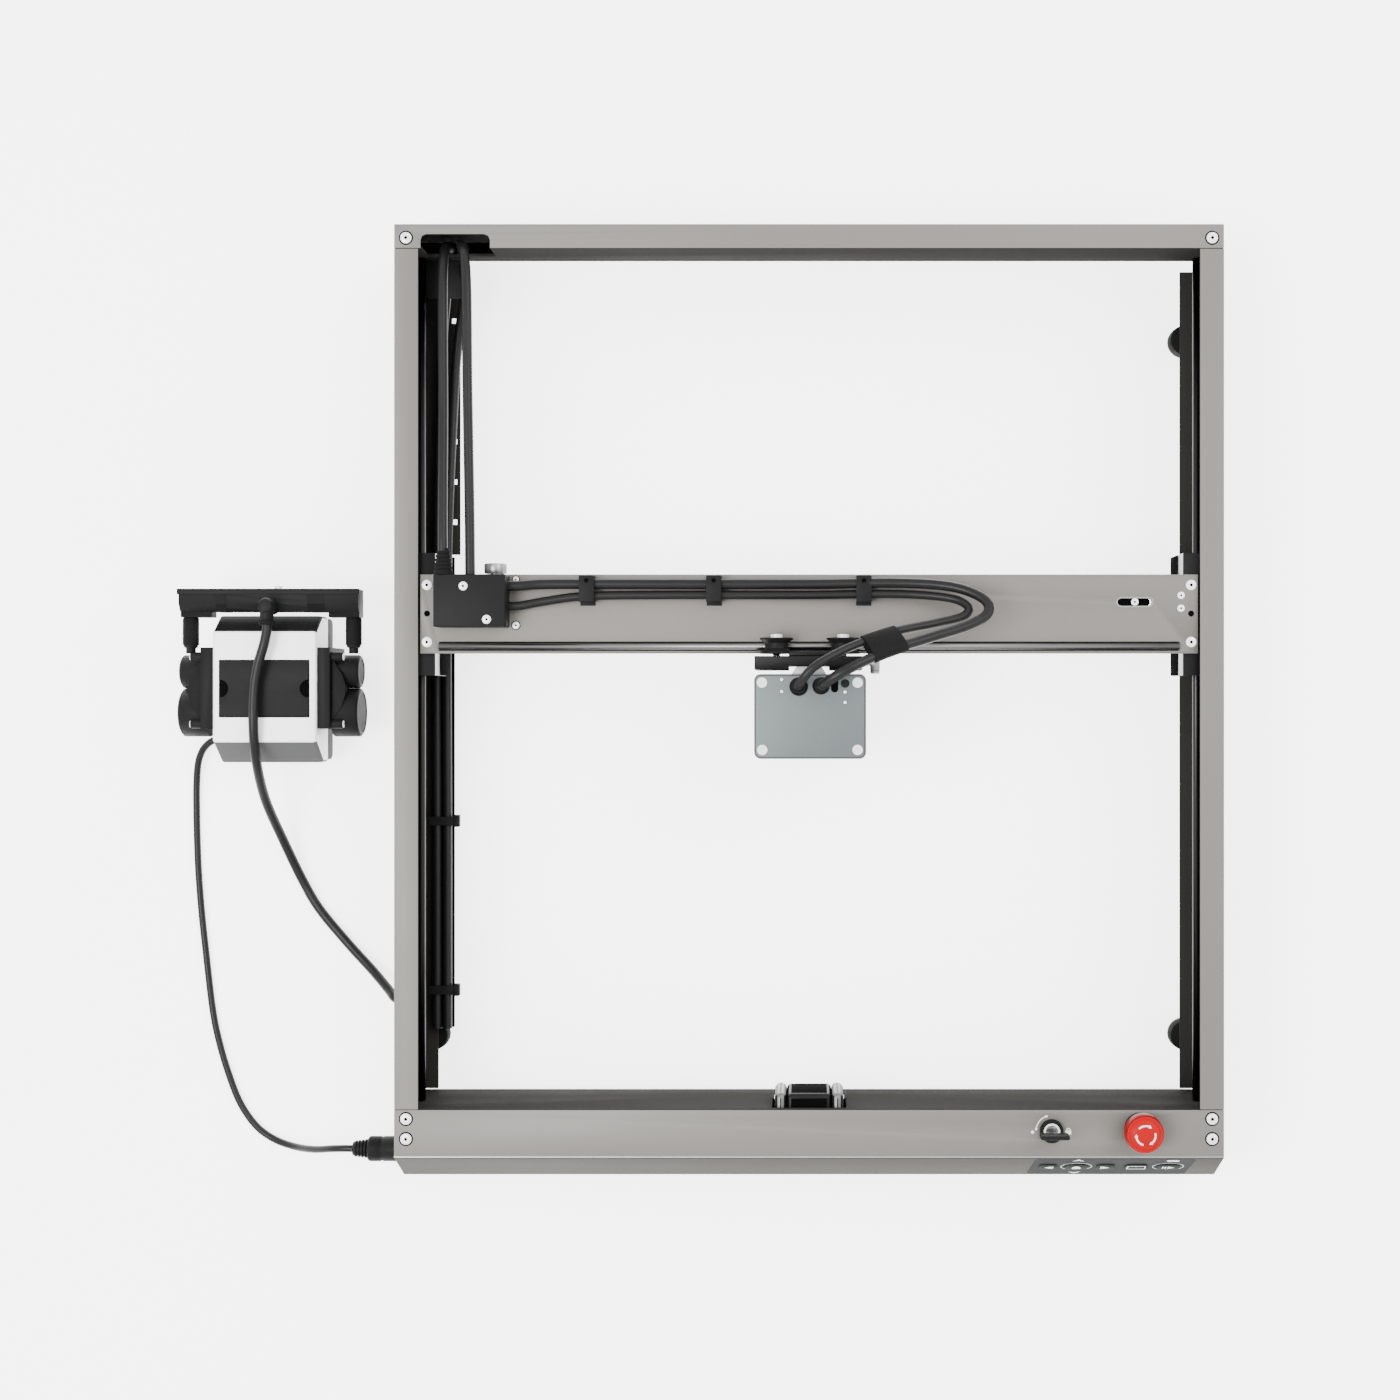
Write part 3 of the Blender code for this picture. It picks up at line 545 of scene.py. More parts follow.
def dress(node, *looks, inside=None, rounding=0.35):
    """Gives a CAD node its finish and softened edges. inside says which faces take the second look."""
    piece = frame["nodes"][node]
    mesh = piece.data
    mesh.materials.clear()
    for look in looks:
        mesh.materials.append(LOOKS[look])
    for face in mesh.polygons:
        face.material_index = 1 if inside and inside(face.center / MM, face.normal) else 0
    weld = piece.modifiers.new("weld", "WELD")
    weld.merge_threshold = 0.00001
    if rounding:
        bevel = piece.modifiers.new("edges", "BEVEL")
        bevel.width = rounding * MM
        bevel.segments = 2
        bevel.limit_method = "ANGLE"
        bevel.angle_limit = math.radians(50)
        bevel.use_clamp_overlap = True
        bevel.harden_normals = True
    mesh.shade_smooth()
    mesh.set_sharp_from_angle(angle=math.radians(35))


def make_cad_looks():
    """Finishes for the CAD nodes that stay visible, with painted shade on the inner faces of the frame, the
    front slope and the gantry's slot walls.
    """
    # the frame's inner faces, and the housing's rear and under faces, take the painted shade
    def rail_inner_painted_shade(side):
        wall = (HALF_W - 1.0) * side + MACHINE_X
        return lambda c, n: abs(c.z - TOP_Z) > 0.1 and n.x * side < 0.5 and (c.x - wall) * side < -0.5
    dress("left_rail", "paint", "paint_shade", inside=rail_inner_painted_shade(-1))
    dress("right_rail", "paint", "paint_shade", inside=rail_inner_painted_shade(1))
    dress("rear_rail", "paint", "paint_shade",
          inside=lambda c, n: c.z < TOP_Z - 0.1 and n.y < 0.5 and abs(c.x - MACHINE_X) < HALF_W - 0.1)
    dress("front_housing", "paint", "paint_shade", inside=lambda c, n: n.y > 0.5 or n.z < -0.5)
    housing = frame["nodes"]["front_housing"].data
    housing.materials.append(LOOKS["paint_slope_painted_shade"])
    # the front slope's faces take the painted shade
    for face in housing.polygons:
        if face.normal.y < -0.5 and 0.3 < face.normal.z < 0.7 and face.center.y / MM < FOLD[0] + 1:
            face.material_index = 2
    # the walls of the gantry plate's slots take painted shade
    dress("gantry_plate", "paint", "deep",
          inside=lambda c, n: abs(n.z) < 0.5 and abs(c.x - MACHINE_X) < 262 and 36.5 < c.y < 80)
    for node in ("front_base", "x_motor", "head_carriage"):
        dress(node, "black_metal", rounding=0.6)
    for node in ("y_guide_left", "y_guide_right"):
        dress(node, "steel_y", rounding=0)
    dress("x_guide", "rod", rounding=0)
    dress("y_drive_shaft", "steel_x", rounding=0)
    dress("key_lock", "screw", rounding=0.3)
    for _, side, _ in SIDES:
        dress(f"y_belt_{side}", "rubber", rounding=0)
        dress(f"y_idler_{side}", "silver", rounding=0.2)
        dress(f"gantry_bracket_{side}", "black", "silver", rounding=0.4,
              inside=lambda c, n: abs(c.x - MACHINE_X) < 261.5)
        dress(f"x_wheel_{side}", "black", rounding=0.2)
        dress(f"pump_head_{side}", "black", rounding=0.9)
        for end in ("front", "rear"):
            dress(f"y_wheel_{side}_{end}", "black", rounding=0.2)
            dress(f"foot_{end}_{side}", "rubber", rounding=0.6)
    for node in ("stop_collar", "pump_socket", "power_inlet", "hose_port"):
        dress(node, "black", rounding=0.25)
    for node in ("air_manifold", "pump_base"):
        dress(node, "black", rounding=0.8)
    dress("laser_shield", "shield", rounding=0.2)
    for key in KEY_X:
        dress(f"{key}_key", "key", rounding=0.3)


# Screws ---------------------------------------------------


def screw(name, place, radius, body, towards="+Z", ring=True):
    """A low button head whose round socket is painted shade, in a ring of painted shade round its seat."""
    height = hole = radius * 0.3
    profile = [(hole * 0.98, height * 0.2), (hole, height), (radius * 0.72, height),
               (radius * 0.93, height * 0.7), (radius, height * 0.25), (radius, 0.0)]
    head = flared(profile, 24)
    bottom = head.faces.new([v for v in head.verts if abs(v.co.z - profile[0][1]) < 1e-6])
    # painted shade at the bottom of the socket
    bottom.material_index = 1
    bmesh.ops.recalc_face_normals(head, faces=head.faces)
    add_piece(name, head, ["screw", "deep"], body, place, TOWARDS[towards], slot=SLOTS["screw"])
    if ring:
        # a ring of painted shade round the head
        seat = band(circle(radius * 0.9, 32), circle(radius * 1.24, 32), EPS)
        add_piece(name + "_seat", seat, "deep", body, place, TOWARDS[towards])


def make_screws():
    """The screws on the frame, the gantry and the head's lid."""
    for side, word, _ in SIDES:
        for number, y in enumerate((324.7, -287.7, -301.6)):
            screw(f"frame_screw_{word}_{number}", at(side * 280.2, y, TOP_Z), 4.0, "frame")
        for number, y in enumerate((83.6, 43.9)):
            place = at(side * BRACKET_X, y, GANTRY_TOP)
            screw(f"gantry_screw_{word}_{number}", place, 3.7, "gantry", ring=False)
        # a hole drawn as a disc of painted shade
        mark(f"gantry_hole_painted_shade_{word}", circle(2.1, 20), "gantry", at(side * BRACKET_X, 63.7, GANTRY_TOP),
             look="deep")
    for number, y in enumerate((76.4, 67.4)):
        screw(f"gantry_small_screw_{number}", at(259.1, y, GANTRY_TOP), 2.6, "gantry", ring=False)
    screw("adjuster_bolt", at(226.9, 71.8, GANTRY_TOP), 2.6, "gantry")
    screw("box_screw_0", at(-237.3, 81.7, BOX_TOP), 3.1, "gantry", ring=False)
    screw("box_screw_1", at(-221.2, 58.8, BOX_TOP), 3.1, "gantry", ring=False)
    screw("plate_screw_0", at(-204.2, 55.5, GANTRY_TOP), 2.6, "gantry")
    screw("plate_screw_1", at(-204.2, 87.4, GANTRY_TOP), 2.2, "gantry")
    for name, x, y in (("left_rear", -31.6, 15.2), ("right_rear", 32.6, 15.2), ("left_front", -31.4, -30.0),
                       ("right_front", 32.6, -30.0)):
        disc = [(3.5, 0), (3.5, 0.5), (3.2, 0.8), (0.9, 0.8), (0.7, 0.5)]
        add_turned(f"lid_screw_{name}", disc, 32, "ink", "laser", at(x, y, LID_TOP), slot="steel")
    for number, (x, y) in enumerate(((-18.4, 17.3), (-18.4, 9.2), (24.2, 8.9), (24.2, 1.9))):
        screw(f"lid_pin_{number}", at(x, y, LID_TOP), 1.1, "laser")


# Laser head -----------------------------------------------

HEAD_X = (-37.0, 38.4)
HEAD_Y = (-36.1, 21.0)
HEAD_LOW = 52.0
LID_TOP = 138.6
LID_LOW = 136.5
FIN_LOW = 68.0
FIN_PITCH = 5.0
AIR_HOLE = (-7.0, 12.5)
LEAD_HOLE = (8.0, 13.0)


def make_head():
    """A cast body with cooling fins, a nozzle, and a screwed lid with its fittings."""
    rings = []

    def ring(z, inset, radius=4.0):
        xs = (HEAD_X[0] + inset, HEAD_X[1] - inset)
        ys = (HEAD_Y[0] + inset, HEAD_Y[1] - inset)
        rings.append([(x, y, z) for x, y in round_rect(xs, ys, radius)])
    ring(HEAD_LOW, 1.2)
    ring(HEAD_LOW + 0.8, 0.5)
    ring(66, 0.5)
    for i in range(9):
        z = FIN_LOW + FIN_PITCH * i
        for height, inset in ((0.0, 0.5), (0.3, 3.2), (2.5, 3.2), (2.8, 0.5)):
            ring(z + height, inset)
    ring(133, 0.5)
    ring(134.2, 0.7)
    ring(LID_LOW, 0.7)
    add_piece("head_body", stack(rings), "fins", "laser", ORIGIN, stands_for=("laser_body",))
    lid = slab(round_rect(HEAD_X, HEAD_Y, 4.5, 8), LID_LOW, LID_TOP, 0.6)
    add_piece("head_lid", lid, "lid", "laser", ORIGIN)
    seam = [round_rect((HEAD_X[0] + g, HEAD_X[1] - g), (HEAD_Y[0] + g, HEAD_Y[1] - g), 4.5 - g, 8)
            for g in (0.7, 1.3)]
    add_piece("lid_seam", band(*seam, EPS), "fins", "laser", at(0, 0, LID_TOP))
    tail = slab([(-12, 20.5), (12, 20.5), (8.5, 26.0), (-8.5, 26.0)], 60, 134, 0.4)
    add_piece("head_dovetail", tail, "silver", "laser", ORIGIN)
    nozzle = [(11, 1), (11, -5.4), (10.4, -6), (6.2, -8.6), (5.8, -9.2), (5, -17.6), (4.4, -18),
              (2.5, -19.5), (1.5, -19.5), (1.5, -16)]
    add_turned("head_nozzle", nozzle, 40, "silver", "laser", at(0.7, -8, HEAD_LOW))
    for number, (x, y) in enumerate((AIR_HOLE, LEAD_HOLE)):
        wide = 6.2 - 0.4 * number
        rim = [(wide, 0), (wide, 0.9), (wide - 0.5, 1.5), (4.4, 3.4), (3.2, 3.6), (3.1, 0)]
        add_turned(f"head_grommet_{number}", rim, 36, "shrink", "laser", at(x, y, LID_TOP))
    # the lid's slot drawn as a plate of painted shade
    mark("head_slot_painted_shade", round_rect((-2.4, 2.4), (-5, 5), 2.3), "laser", at(17.2, 13.6, LID_TOP), look="deep",
         slot="black_plastic")
    button = [(2.8, 0), (2.8, 0.9), (2.4, 1.3), (0.4, 1.4)]
    add_turned("head_button", button, 28, "black", "laser", at(24.2, 14.6, LID_TOP))
    knob = [(1.9, 0), (1.9, 5.6), (6.6, 5.6), (7.4, 6.4), (7.4, 11.2), (6.8, 11.9), (2.4, 12),
            (2.2, 11.4)]
    add_piece("height_knob_knurled", turned(knob, 56, (3, 4, 0.5)), "silver", "knob", at(36.8, 29, 98),
              TOWARDS["+X"], sharp=60, stands_for=("height_knob",), slot="steel")
    for number, x in enumerate((-22.5, 23.5)):
        nut = [(4.2, 0), (4.2, 1.8), (3.6, 2.3), (1.6, 2.4), (1.4, 1.6)]
        add_turned(f"wheel_nut_{number}", nut, 24, "screw", "carriage", at(x, 46.6, 100.8), "+Y")
    for number, x in enumerate((-7.5, 7.0)):
        cap = [(1.9, 0), (1.9, 1.5), (1.5, 1.9), (0.8, 1.9)]
        add_turned(f"carriage_screw_{number}", cap, 20, "screw", "carriage", at(x, 33.9, 104), "+Y")
    add_box("carriage_clamp", (-14, 14), (33.9, 37.0), (92, 109), 0.5, "black_metal", "carriage")


# Gantry ---------------------------------------------------

HEAD_LEAD_D = 7.0
HEAD_AIR_D = 6.0
RAIL_LEAD_D = 7.0


def cable_clip(name, place, body, ys, height):
    """A bent strap over two leads: two feet and a raised middle, with a rivet dimple."""
    thick, width = 1.0, 10.4
    low, high = ys
    line = [(low - 3.4, 0), (low, 0), (low, height), (high, height), (high, 0), (high + 1.2, 0)]
    outer = []
    for (y, z), (dy, dz) in zip(line, ((0, 1), (-1, 1), (-1, 1), (1, 1), (1, 1), (0, 1))):
        outer.append((y + dy * thick, z + dz * thick))
    section = line + list(reversed(outer))
    shape = pushed_out([(-width / 2, y, z) for y, z in section], (width, 0, 0))
    add_piece(name, soften(shape, 0.3, 2), "black", body, place)
    # the rivet's dimple in painted shade
    dimple = [(1.6, 0), (1.5, 0.35), (0.9, 0.5), (0.2, 0.5)]
    on_top = (place[0], place[1] + high - 2.4, place[2] + height + thick - 0.1)
    add_turned(name + "_rivet", dimple, 20, "deep", body, on_top, slot="black_plastic")


def ribbed_relief(name, place, body, inner, outer, length, count, towards="+Y"):
    """A tapered strain relief with open ribs."""
    profile = [(inner + 0.05, 0), (outer, 0)]
    pitch = (length - 2) / count
    for i in range(count):
        radius = outer - (outer - inner - 0.9) * i / count
        start = 1.2 + pitch * i
        profile += [(radius, start), (radius, start + pitch * 0.55), (radius - 0.8, start + pitch * 0.62),
                    (radius - 0.8, start + pitch * 0.93)]
    profile += [(inner + 0.6, length), (inner + 0.05, length)]
    add_turned(name, profile, 28, "rubber", body, place, towards)


def make_gantry():
    """The junction box, the clips and the fittings on the gantry's plate and brackets."""
    add_box("junction_case", (-258, -208.5), (53.8, 89.9), (GANTRY_TOP + 0.3, BOX_TOP), 0.9, "black",
            "gantry", stands_for=("junction_box",))
    ribbed_relief("gantry_relief", at(-252, 90.0, 104), "gantry", 3.5, 6.6, 18, 6)
    for number, x in enumerate((-154, -66, 38)):
        cable_clip(f"gantry_clip_{number}", at(x, 0, GANTRY_TOP + 0.1), "gantry", (72.6, 88.6), 9.4)
    knob = [(3, -1), (3, 0), (7.2, 0), (7.8, 0.6), (7.8, 6.2), (7.3, 6.8), (2.0, 6.8)]
    add_piece("tension_knob", turned(knob, 60, (3, 4, 0.5)), "silver", "gantry",
              at(-219.5, GANTRY_REAR_Y + 1.0, 82.0), TOWARDS["+Y"], sharp=60, slot="steel")
    for side, word, _ in SIDES:
        add_box(f"bracket_cover_{word}", sorted((side * 260.2, side * 260.8)), (20.9, 105.9), (42.4, 68),
                0.2, "deep", "gantry", slot="black_plastic")
    # painted shade: a dark strip in the slot under the X rod
    add_box("rod_slot_painted_shade", (-258, 258), (37.2, 44.6), (84.5, 85.8), 0.2, "deep", "gantry")
    # painted shade on the floor of the adjuster's recess
    mark("adjuster_recess_painted_shade", round_rect((213.6, 237.8), (68.9, 74.5), 2.7), "gantry",
         at(0, 0, GANTRY_TOP - 2.2), look="deep")
    lip = stack([[(x, y, z) for x, y in round_rect((214.8 - g, 239.2 + g), (69.0 - g, 74.4 + g), 2.6 + g)]
                 for g, z in ((0, 0.3), (0.5, 0.3), (0.9, 0))], closed_ends=False)
    add_piece("adjuster_lip", lip, "silver", "gantry", at(0, 0, GANTRY_TOP))


# Each bend is its two bodies, then where it starts and ends.
REAR_BEND = (("frame", "gantry"), (-254, 306, 60), (-254, 112, 60))
HEAD_BEND = (("gantry", "carriage"), (110, 68.6, 94), (110, 28.8, 133.8))
HEAD_LIFT = (("carriage", "laser"), (20, 32.5, 150), (20, 15, 150))


def bend(piece, bodies, start, end):
    """Takes a finished piece off its body and bakes its place into its mesh; bodies, start and end are not
    used.
    """
    world = piece.matrix_world.copy()
    piece.parent = None
    piece.matrix_world = world
    del piece["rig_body"]
    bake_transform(piece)


def held_lead(name, node, points, diameter, bent=None, split=None):
    """A lead that the machine holds, taken off its body when a bend is given.
    At a split, hidden in the sleeve, a second piece goes on to the head and is taken off its body too."""
    route = smooth_route([at(*p) for p in points])
    if split:
        cut = min(range(len(route)), key=lambda i: (Vector(route[i]) - Vector(at(*split))).length)
        tail = add_piece(name.replace("_run", "_end"), tube_shape(route[cut:], diameter / 2), "jacket",
                         "carriage", sharp=60)
        bend(tail, *HEAD_LIFT)
        route = route[:cut + 1]
    lead = add_piece(name, tube_shape(route, diameter / 2), "jacket", "frame", sharp=60)
    if bent:
        bend(lead, *bent)
    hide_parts(node)


def make_held_leads():
    """The leads along the rail, up to the gantry and on to the head, with what holds them."""
    z = 104.0  # where the rear leads enter the junction box
    held_lead("lead_to_gantry_run", "lead_to_gantry", [
        (-252, 90.2, z), (-252.5, 120, z), (-254, 200, 94), (-255, 280, 90), (-256, 311, 82),
        (-256, 323, 71), (-256, 326, 54)],
        RAIL_LEAD_D, REAR_BEND)
    held_lead("air_to_gantry_run", "air_to_gantry", [
        (-233.5, 90.2, z), (-234, 130, 103), (-236, 220, 100), (-237, 285, 98), (-239.5, 311, 92),
        (-243.5, 321, 82), (-246, 325, 68), (-246, 326, 54)],
        RAIL_LEAD_D, REAR_BEND)
    held_lead("lead_on_rail_run", "lead_on_rail", [
        (-271.5, -236, 22.5), (-271.5, -100, 22.5), (-271.5, 100, 22.5), (-268, 240, 24), (-263, 290, 35),
        (-257, 310, 50)], RAIL_LEAD_D)
    held_lead("air_on_rail_run", "air_on_rail", [
        (-264, -236, 22.5), (-264, -100, 22.5), (-264, 100, 22.5), (-258, 240, 24), (-250, 290, 38),
        (-245.5, 312, 60)], RAIL_LEAD_D)
    lift = GANTRY_TOP + 0.3  # where the leads lie on the gantry
    sunk = LID_TOP - 16  # where they end, out of sight in the head
    held_lead("lead_to_head_run", "lead_to_head", [
        (-209, 82.5, 96), (-200, 82.8, 95.6), (-180, 84, lift + 4.4), (-110, 84, lift + 4.4),
        (0, 84, lift + 4.4), (60, 84.5, 98), (98, 81.5, 105), (119, 73, 113), (122, 63, 119), (108, 54, 127),
        (80, 45, 138), (52, 36, 147), (26, 24, 156), (11, 15, 151),
        (*LEAD_HOLE, LID_TOP), (*LEAD_HOLE, sunk)],
        HEAD_LEAD_D, HEAD_BEND, split=(48, 34.3, 148.4))
    held_lead("air_to_head_run", "air_to_head", [
        (-209, 68.6, 94), (-200, 69, 93.8), (-184, 72, 93.2), (-155, 75.6, lift + 3.8),
        (-100, 76.4, lift + 3.8), (0, 76.4, lift + 3.8), (60, 77, 96), (96, 74, 103), (109, 67.5, 110),
        (105, 60.5, 116), (86, 55.5, 124), (58, 49.5, 135), (28, 39, 148), (4, 26, 156), (-6, 14.5, 151),
        (*AIR_HOLE, LID_TOP), (*AIR_HOLE, sunk)],
        HEAD_AIR_D, HEAD_BEND, split=(38.5, 42.9, 143.9))
    for number, y in enumerate((-84.6, -207.7)):
        rail_clip(number, y)
    # the first plate is painted shade that hides the floor seen through the rail's rear notch
    for name, xs, ys, zs, look in (
            ("notch_painted_shade", (-284, -221), (319.9, 331.9), (42, 46), "deep"),
            ("rail_channel", (-274.5, -259.6), (-236, 108), (16.4, 18.4), "deep"),
            ("rear_corner_plate", (-280.4, -243.5), (290, 317.2), (54.4, 56), "black_metal")):
        add_box(name, xs, ys, zs, 0.3, look, "frame")


def rail_clip(number, y):
    """A strap over the two leads on the left rail's lower flange, with its buckle."""
    for name, xs, half, zs, radius in (("rail_strap", (-277, -259), 3.2, (26.4, 27.6), 0.3),
                                       ("rail_strap_side", (-260.0, -258.8), 3.2, (16.6, 27.4), 0.3),
                                       ("rail_buckle", (-259, -254.6), 4.4, (21, 27.4), 0.8)):
        add_box(f"{name}_{number}", xs, (y - half, y + half), zs, radius, "black", "frame")


def make_sleeve():
    """A heat-shrink sleeve round the lead and the air line, just above the head."""
    lead = [Vector(p) for p in ((66, 40.6, 142.4), (59, 38.4, 144.7), (52, 36, 147), (44, 32.7, 149.8))]
    air = [Vector(p) for p in ((57, 49.2, 135.4), (49.6, 46.8, 138.8), (42, 44.2, 142.4), (35, 41.6, 145.4))]
    squareness = 2.6  # 2 is an ellipse, and more is nearer to a rounded box
    rings = []
    centres = [(p + q) / 2 for p, q in zip(lead, air)]
    for i, (p, q) in enumerate(zip(lead, air)):
        ahead = (centres[min(i + 1, 3)] - centres[max(i - 1, 0)]).normalized()
        wide = q - p
        wide = wide - ahead * wide.dot(ahead)
        thin = ahead.cross(wide).normalized()
        across = wide.normalized() * (wide.length / 2 + HEAD_LEAD_D / 2 + 1.0)
        thin *= HEAD_LEAD_D / 2 + 1.1
        ring = []
        for x, y in circle(1.0, 32):
            squeeze = (abs(x) ** squareness + abs(y) ** squareness) ** (-1 / squareness)
            ring.append(centres[i] + across * (squeeze * x) + thin * (squeeze * y))
        rings.append(ring)
    piece = add_piece("lead_sleeve", stack(rings), "shrink", "carriage", ORIGIN, sharp=50)
    bend(piece, *HEAD_BEND)


# Y motor --------------------------------------------------


def make_motor():
    """The shaft motor: a dark can between two end plates, with painted shade on the flat faces and a painted
    highlight on the chamfers.
    """
    def chamfered(xs, ys, zs, radius):
        """A box whose long chamfers take the second look, a painted highlight against the flats."""
        shape = block(xs, ys, zs, radius)
        for face in shape.faces:
            if max(abs(face.normal.y), abs(face.normal.z)) < 0.97 and abs(face.normal.x) < 0.6:
                face.material_index = 1
        return shape
    can = chamfered((-15.8, 15.8), (-312.4, -272.1), (41.6, 82.4), 3.2)
    add_piece("motor_can", can, ["deep", "black_metal"], "frame", ORIGIN, stands_for=("y_motor",),
              slot="black_metal")
    for side, word, towards in SIDES:
        xs = sorted((side * 15.9, side * 24))
        cap = chamfered(xs, (-313, -271.5), (41, 83), 3.6)
        add_piece(f"motor_cap_{word}", cap, ["black_metal", "cap"], "frame", ORIGIN, slot="silver")
        for number, z in enumerate((44.6, 79.4)):
            screw(f"motor_screw_{word}_{number}", at(side * 24, -275.0, z), 1.5, "frame", towards, False)


# Controls -------------------------------------------------

STOP = (230.3, -294.4)
STOP_FACE = 22.42  # height of the stop button's face over the frame
LOCK = (168.5, -296.0)


def mark(name, outline, body, place, turn=None, look="ink", slot=None):
    """A printed mark: a thin plate standing just off what it is on."""
    add_piece(name, slab(outline, 0, EPS), look, body, place, turn, slot=slot)


def curved_arrow(name, radius, start, end, width, head, body, place):
    """An arc with an arrowhead at its far end, going clockwise when end is below start."""
    mark(name, arc_band(radius, width, start, end), body, place)
    way = 1 if end > start else -1
    a = math.radians(end)
    points = [polar(radius + head * 0.62, a), polar(radius - head * 0.62, a),
              polar(radius, a + way * head / radius)]
    mark(name + "_head", points, body, place)


def make_controls():
    """The stop button with its arrows, and the key lock with its key and marks."""
    profile = [(4.4, -4), (4.4, 9.6), (12.4, 9.6), (13.2, 10.4), (13.4, 11.6), (13.4, 17.2), (13.1, 18.8),
               (12.3, 20.0), (11.4, 20.3), (10.7, 19.9), (10.2, 20.2), (8.8, 21.4), (6.6, 22.1),
               (3.4, 22.4), (1.0, 22.5)]
    cap = turned(profile, 56)
    # the skirt and rim of the stop button take the painted shade
    for face in cap.faces:
        middle = face.calc_center_median()
        if math.hypot(*middle.xy) > 12.4 or middle.z < 17:
            face.material_index = 1
    add_piece("stop_cap", cap, ["red", "red_painted_shade"], "stop", at(*STOP, TOP_Z), sharp=50,
              stands_for=("stop_button",), slot="red_plastic")
    for number in range(3):
        start = 135 - 120 * number
        curved_arrow(f"stop_arrow_{number}", 6.6, start, start - 66, 1.2, 2.0, "stop",
                     at(*STOP, TOP_Z + STOP_FACE))
    lock = at(*LOCK, TOP_Z)
    bezel = flared([(7.6, 0.05), (8.2, 0.05), (8.0, 3.1), (7.6, 3.5), (5.9, 3.5), (5.7, 3.05)], 40)
    add_piece("lock_bezel", bezel, "black", "frame", lock)
    add_box("key_blade", (-3.4, 3.4), (-0.8, 0.8), (-5, 13), 0.3, "steel_x", "key", lock,
            stands_for=("switch_key",), slot="steel")
    add_box("key_bow", (-10, 10), (-1.5, 1.5), (12, 24), 1.2, "black", "key", lock)
    curved_arrow("lock_arrow", 10.8, 142, 112, 0.7, 1.8, "frame", lock)
    curved_arrow("lock_arrow_back", 10.8, 142, 170, 0.7, 1.8, "frame", lock)
    mark("lock_off_dot", circle(1.1, 20), "frame", at(LOCK[0] - 13.2, LOCK[1] - 0.8, TOP_Z))
    padlock = at(LOCK[0] + 11.8, LOCK[1] + 0.4, TOP_Z)
    mark("lock_shackle", arc_band(1.35, 0.6, 0, 180), "frame", padlock)
    mark("lock_symbol", round_rect((-2.0, 2.0), (-2.8, 0), 0.4), "frame", padlock)


def make_panel():
    """The sloping key strip, with a plain symbol on each key."""
    run, drop = FOLD[0] - NOSE[0], FOLD[1] - NOSE[1]
    tilt = Matrix.Rotation(math.atan2(drop, run), 3, "X")
    middle = ((FOLD[0] + NOSE[0]) / 2, (FOLD[1] + NOSE[1]) / 2)
    height = math.hypot(run, drop)

    def on_slope(x, up=0.0, off=0.0):
        """A place on the panel: along it, up it, and off it."""
        shift = tilt @ Vector((0, up, off))
        return at(x, middle[0] + shift.y, middle[1] + shift.z)
    sheet = round_rect((-56, 56), (-height / 2 + 1.6, height / 2 - 2.6), 3.0)
    leaning = [(x + 0.09 * y, y) for x, y in sheet]
    add_piece("panel_overlay", slab(leaning, 0, 0.14), "overlay", "frame", on_slope(212.3, 0, 0.02), tilt,
              slot="black_plastic")
    # painted light along the fold: a painted highlight strip on the top just behind it, and a painted shade
    # strip on the slope just below it
    for name, look, low, high, turn in (("light", "silver", 0.1, 1.2, None),
                                        ("dark", "paint_shade", -1.2, -0.1, tilt)):
        strip = [(-HALF_W, low), (HALF_W, low), (HALF_W, high), (-HALF_W, high)]
        mark(f"fold_painted_shading_{name}", strip, "frame", at(0, *FOLD), turn, look, "frame_paint")
    face = 1.03  # how far a key's face stands off the panel
    triangle = [(-2.6, 0), (2.4, -2.4), (2.4, 2.4)]
    bar = [(2.9, -2.4), (3.6, -2.4), (3.6, 2.4), (2.9, 2.4)]
    house = [(-3.0, -2.6), (3.0, -2.6), (3.0, 0.4), (0, 3.2), (-3.0, 0.4)]
    pause = [(-4.2, -2.0), (-3.2, -2.0), (-3.2, 2.0), (-4.2, 2.0)]
    play = [(-0.4, -2.3), (4.6, 0), (-0.4, 2.3)]

    def symbol(name, outline, key, shift=0.0, flip=1):
        """A mark on a key that moves with it, flipped left to right when flip is -1."""
        points = [(flip * (a + shift), b) for a, b in outline][::flip]
        mark(name, points, f"{key}_push", on_slope(KEY_X[key], 0, face), tilt)
    symbol("back_arrow", triangle, "back")
    symbol("back_stroke", bar, "back")
    symbol("home_roof", house, "home")
    symbol("forward_arrow", triangle, "forward", flip=-1)
    symbol("forward_stroke", bar, "forward", flip=-1)
    symbol("start_pause_0", pause, "start")
    symbol("start_pause_1", pause, "start", 1.8)
    symbol("start_play", play, "start")
    rim = round_rect((-6.6, 6.6), (-3.4, 3.4), 1.0)
    inner = round_rect((-5.9, 5.9), (-2.7, 2.7), 0.5)
    add_piece("frame_outline", band(inner, rim, EPS), "ink", "frame_push",
              on_slope(KEY_X["frame"], 0, face), tilt)
    for name in ("home", "start"):
        ovals = [[(x * 1.12, y * 0.82) for x, y in circle(r, 48)] for r in (9.4, 9.8)]
        add_piece(f"{name}_ring", band(*ovals, 0.2), "ink", "frame", on_slope(KEY_X[name]), tilt)
    for name, way in (("up", 1), ("down", -1)):
        chevron = [(-4.2, 0), (0, 4.0 * way), (4.2, 0), (0, 1.6 * way)][::-way]
        mark(f"pad_{name}", chevron, "frame", on_slope(KEY_X["home"], 12.4 * way, 0.17), tilt)
    light = slab(round_rect((-4.4, 4.4), (-1.3, 1.3), 1.2), 0, 0.5, 0.2)
    add_piece("panel_lamp", light, "ink", "frame", on_slope(254.0, height / 2 - 5.4, 0.15), tilt)


# Pump -----------------------------------------------------

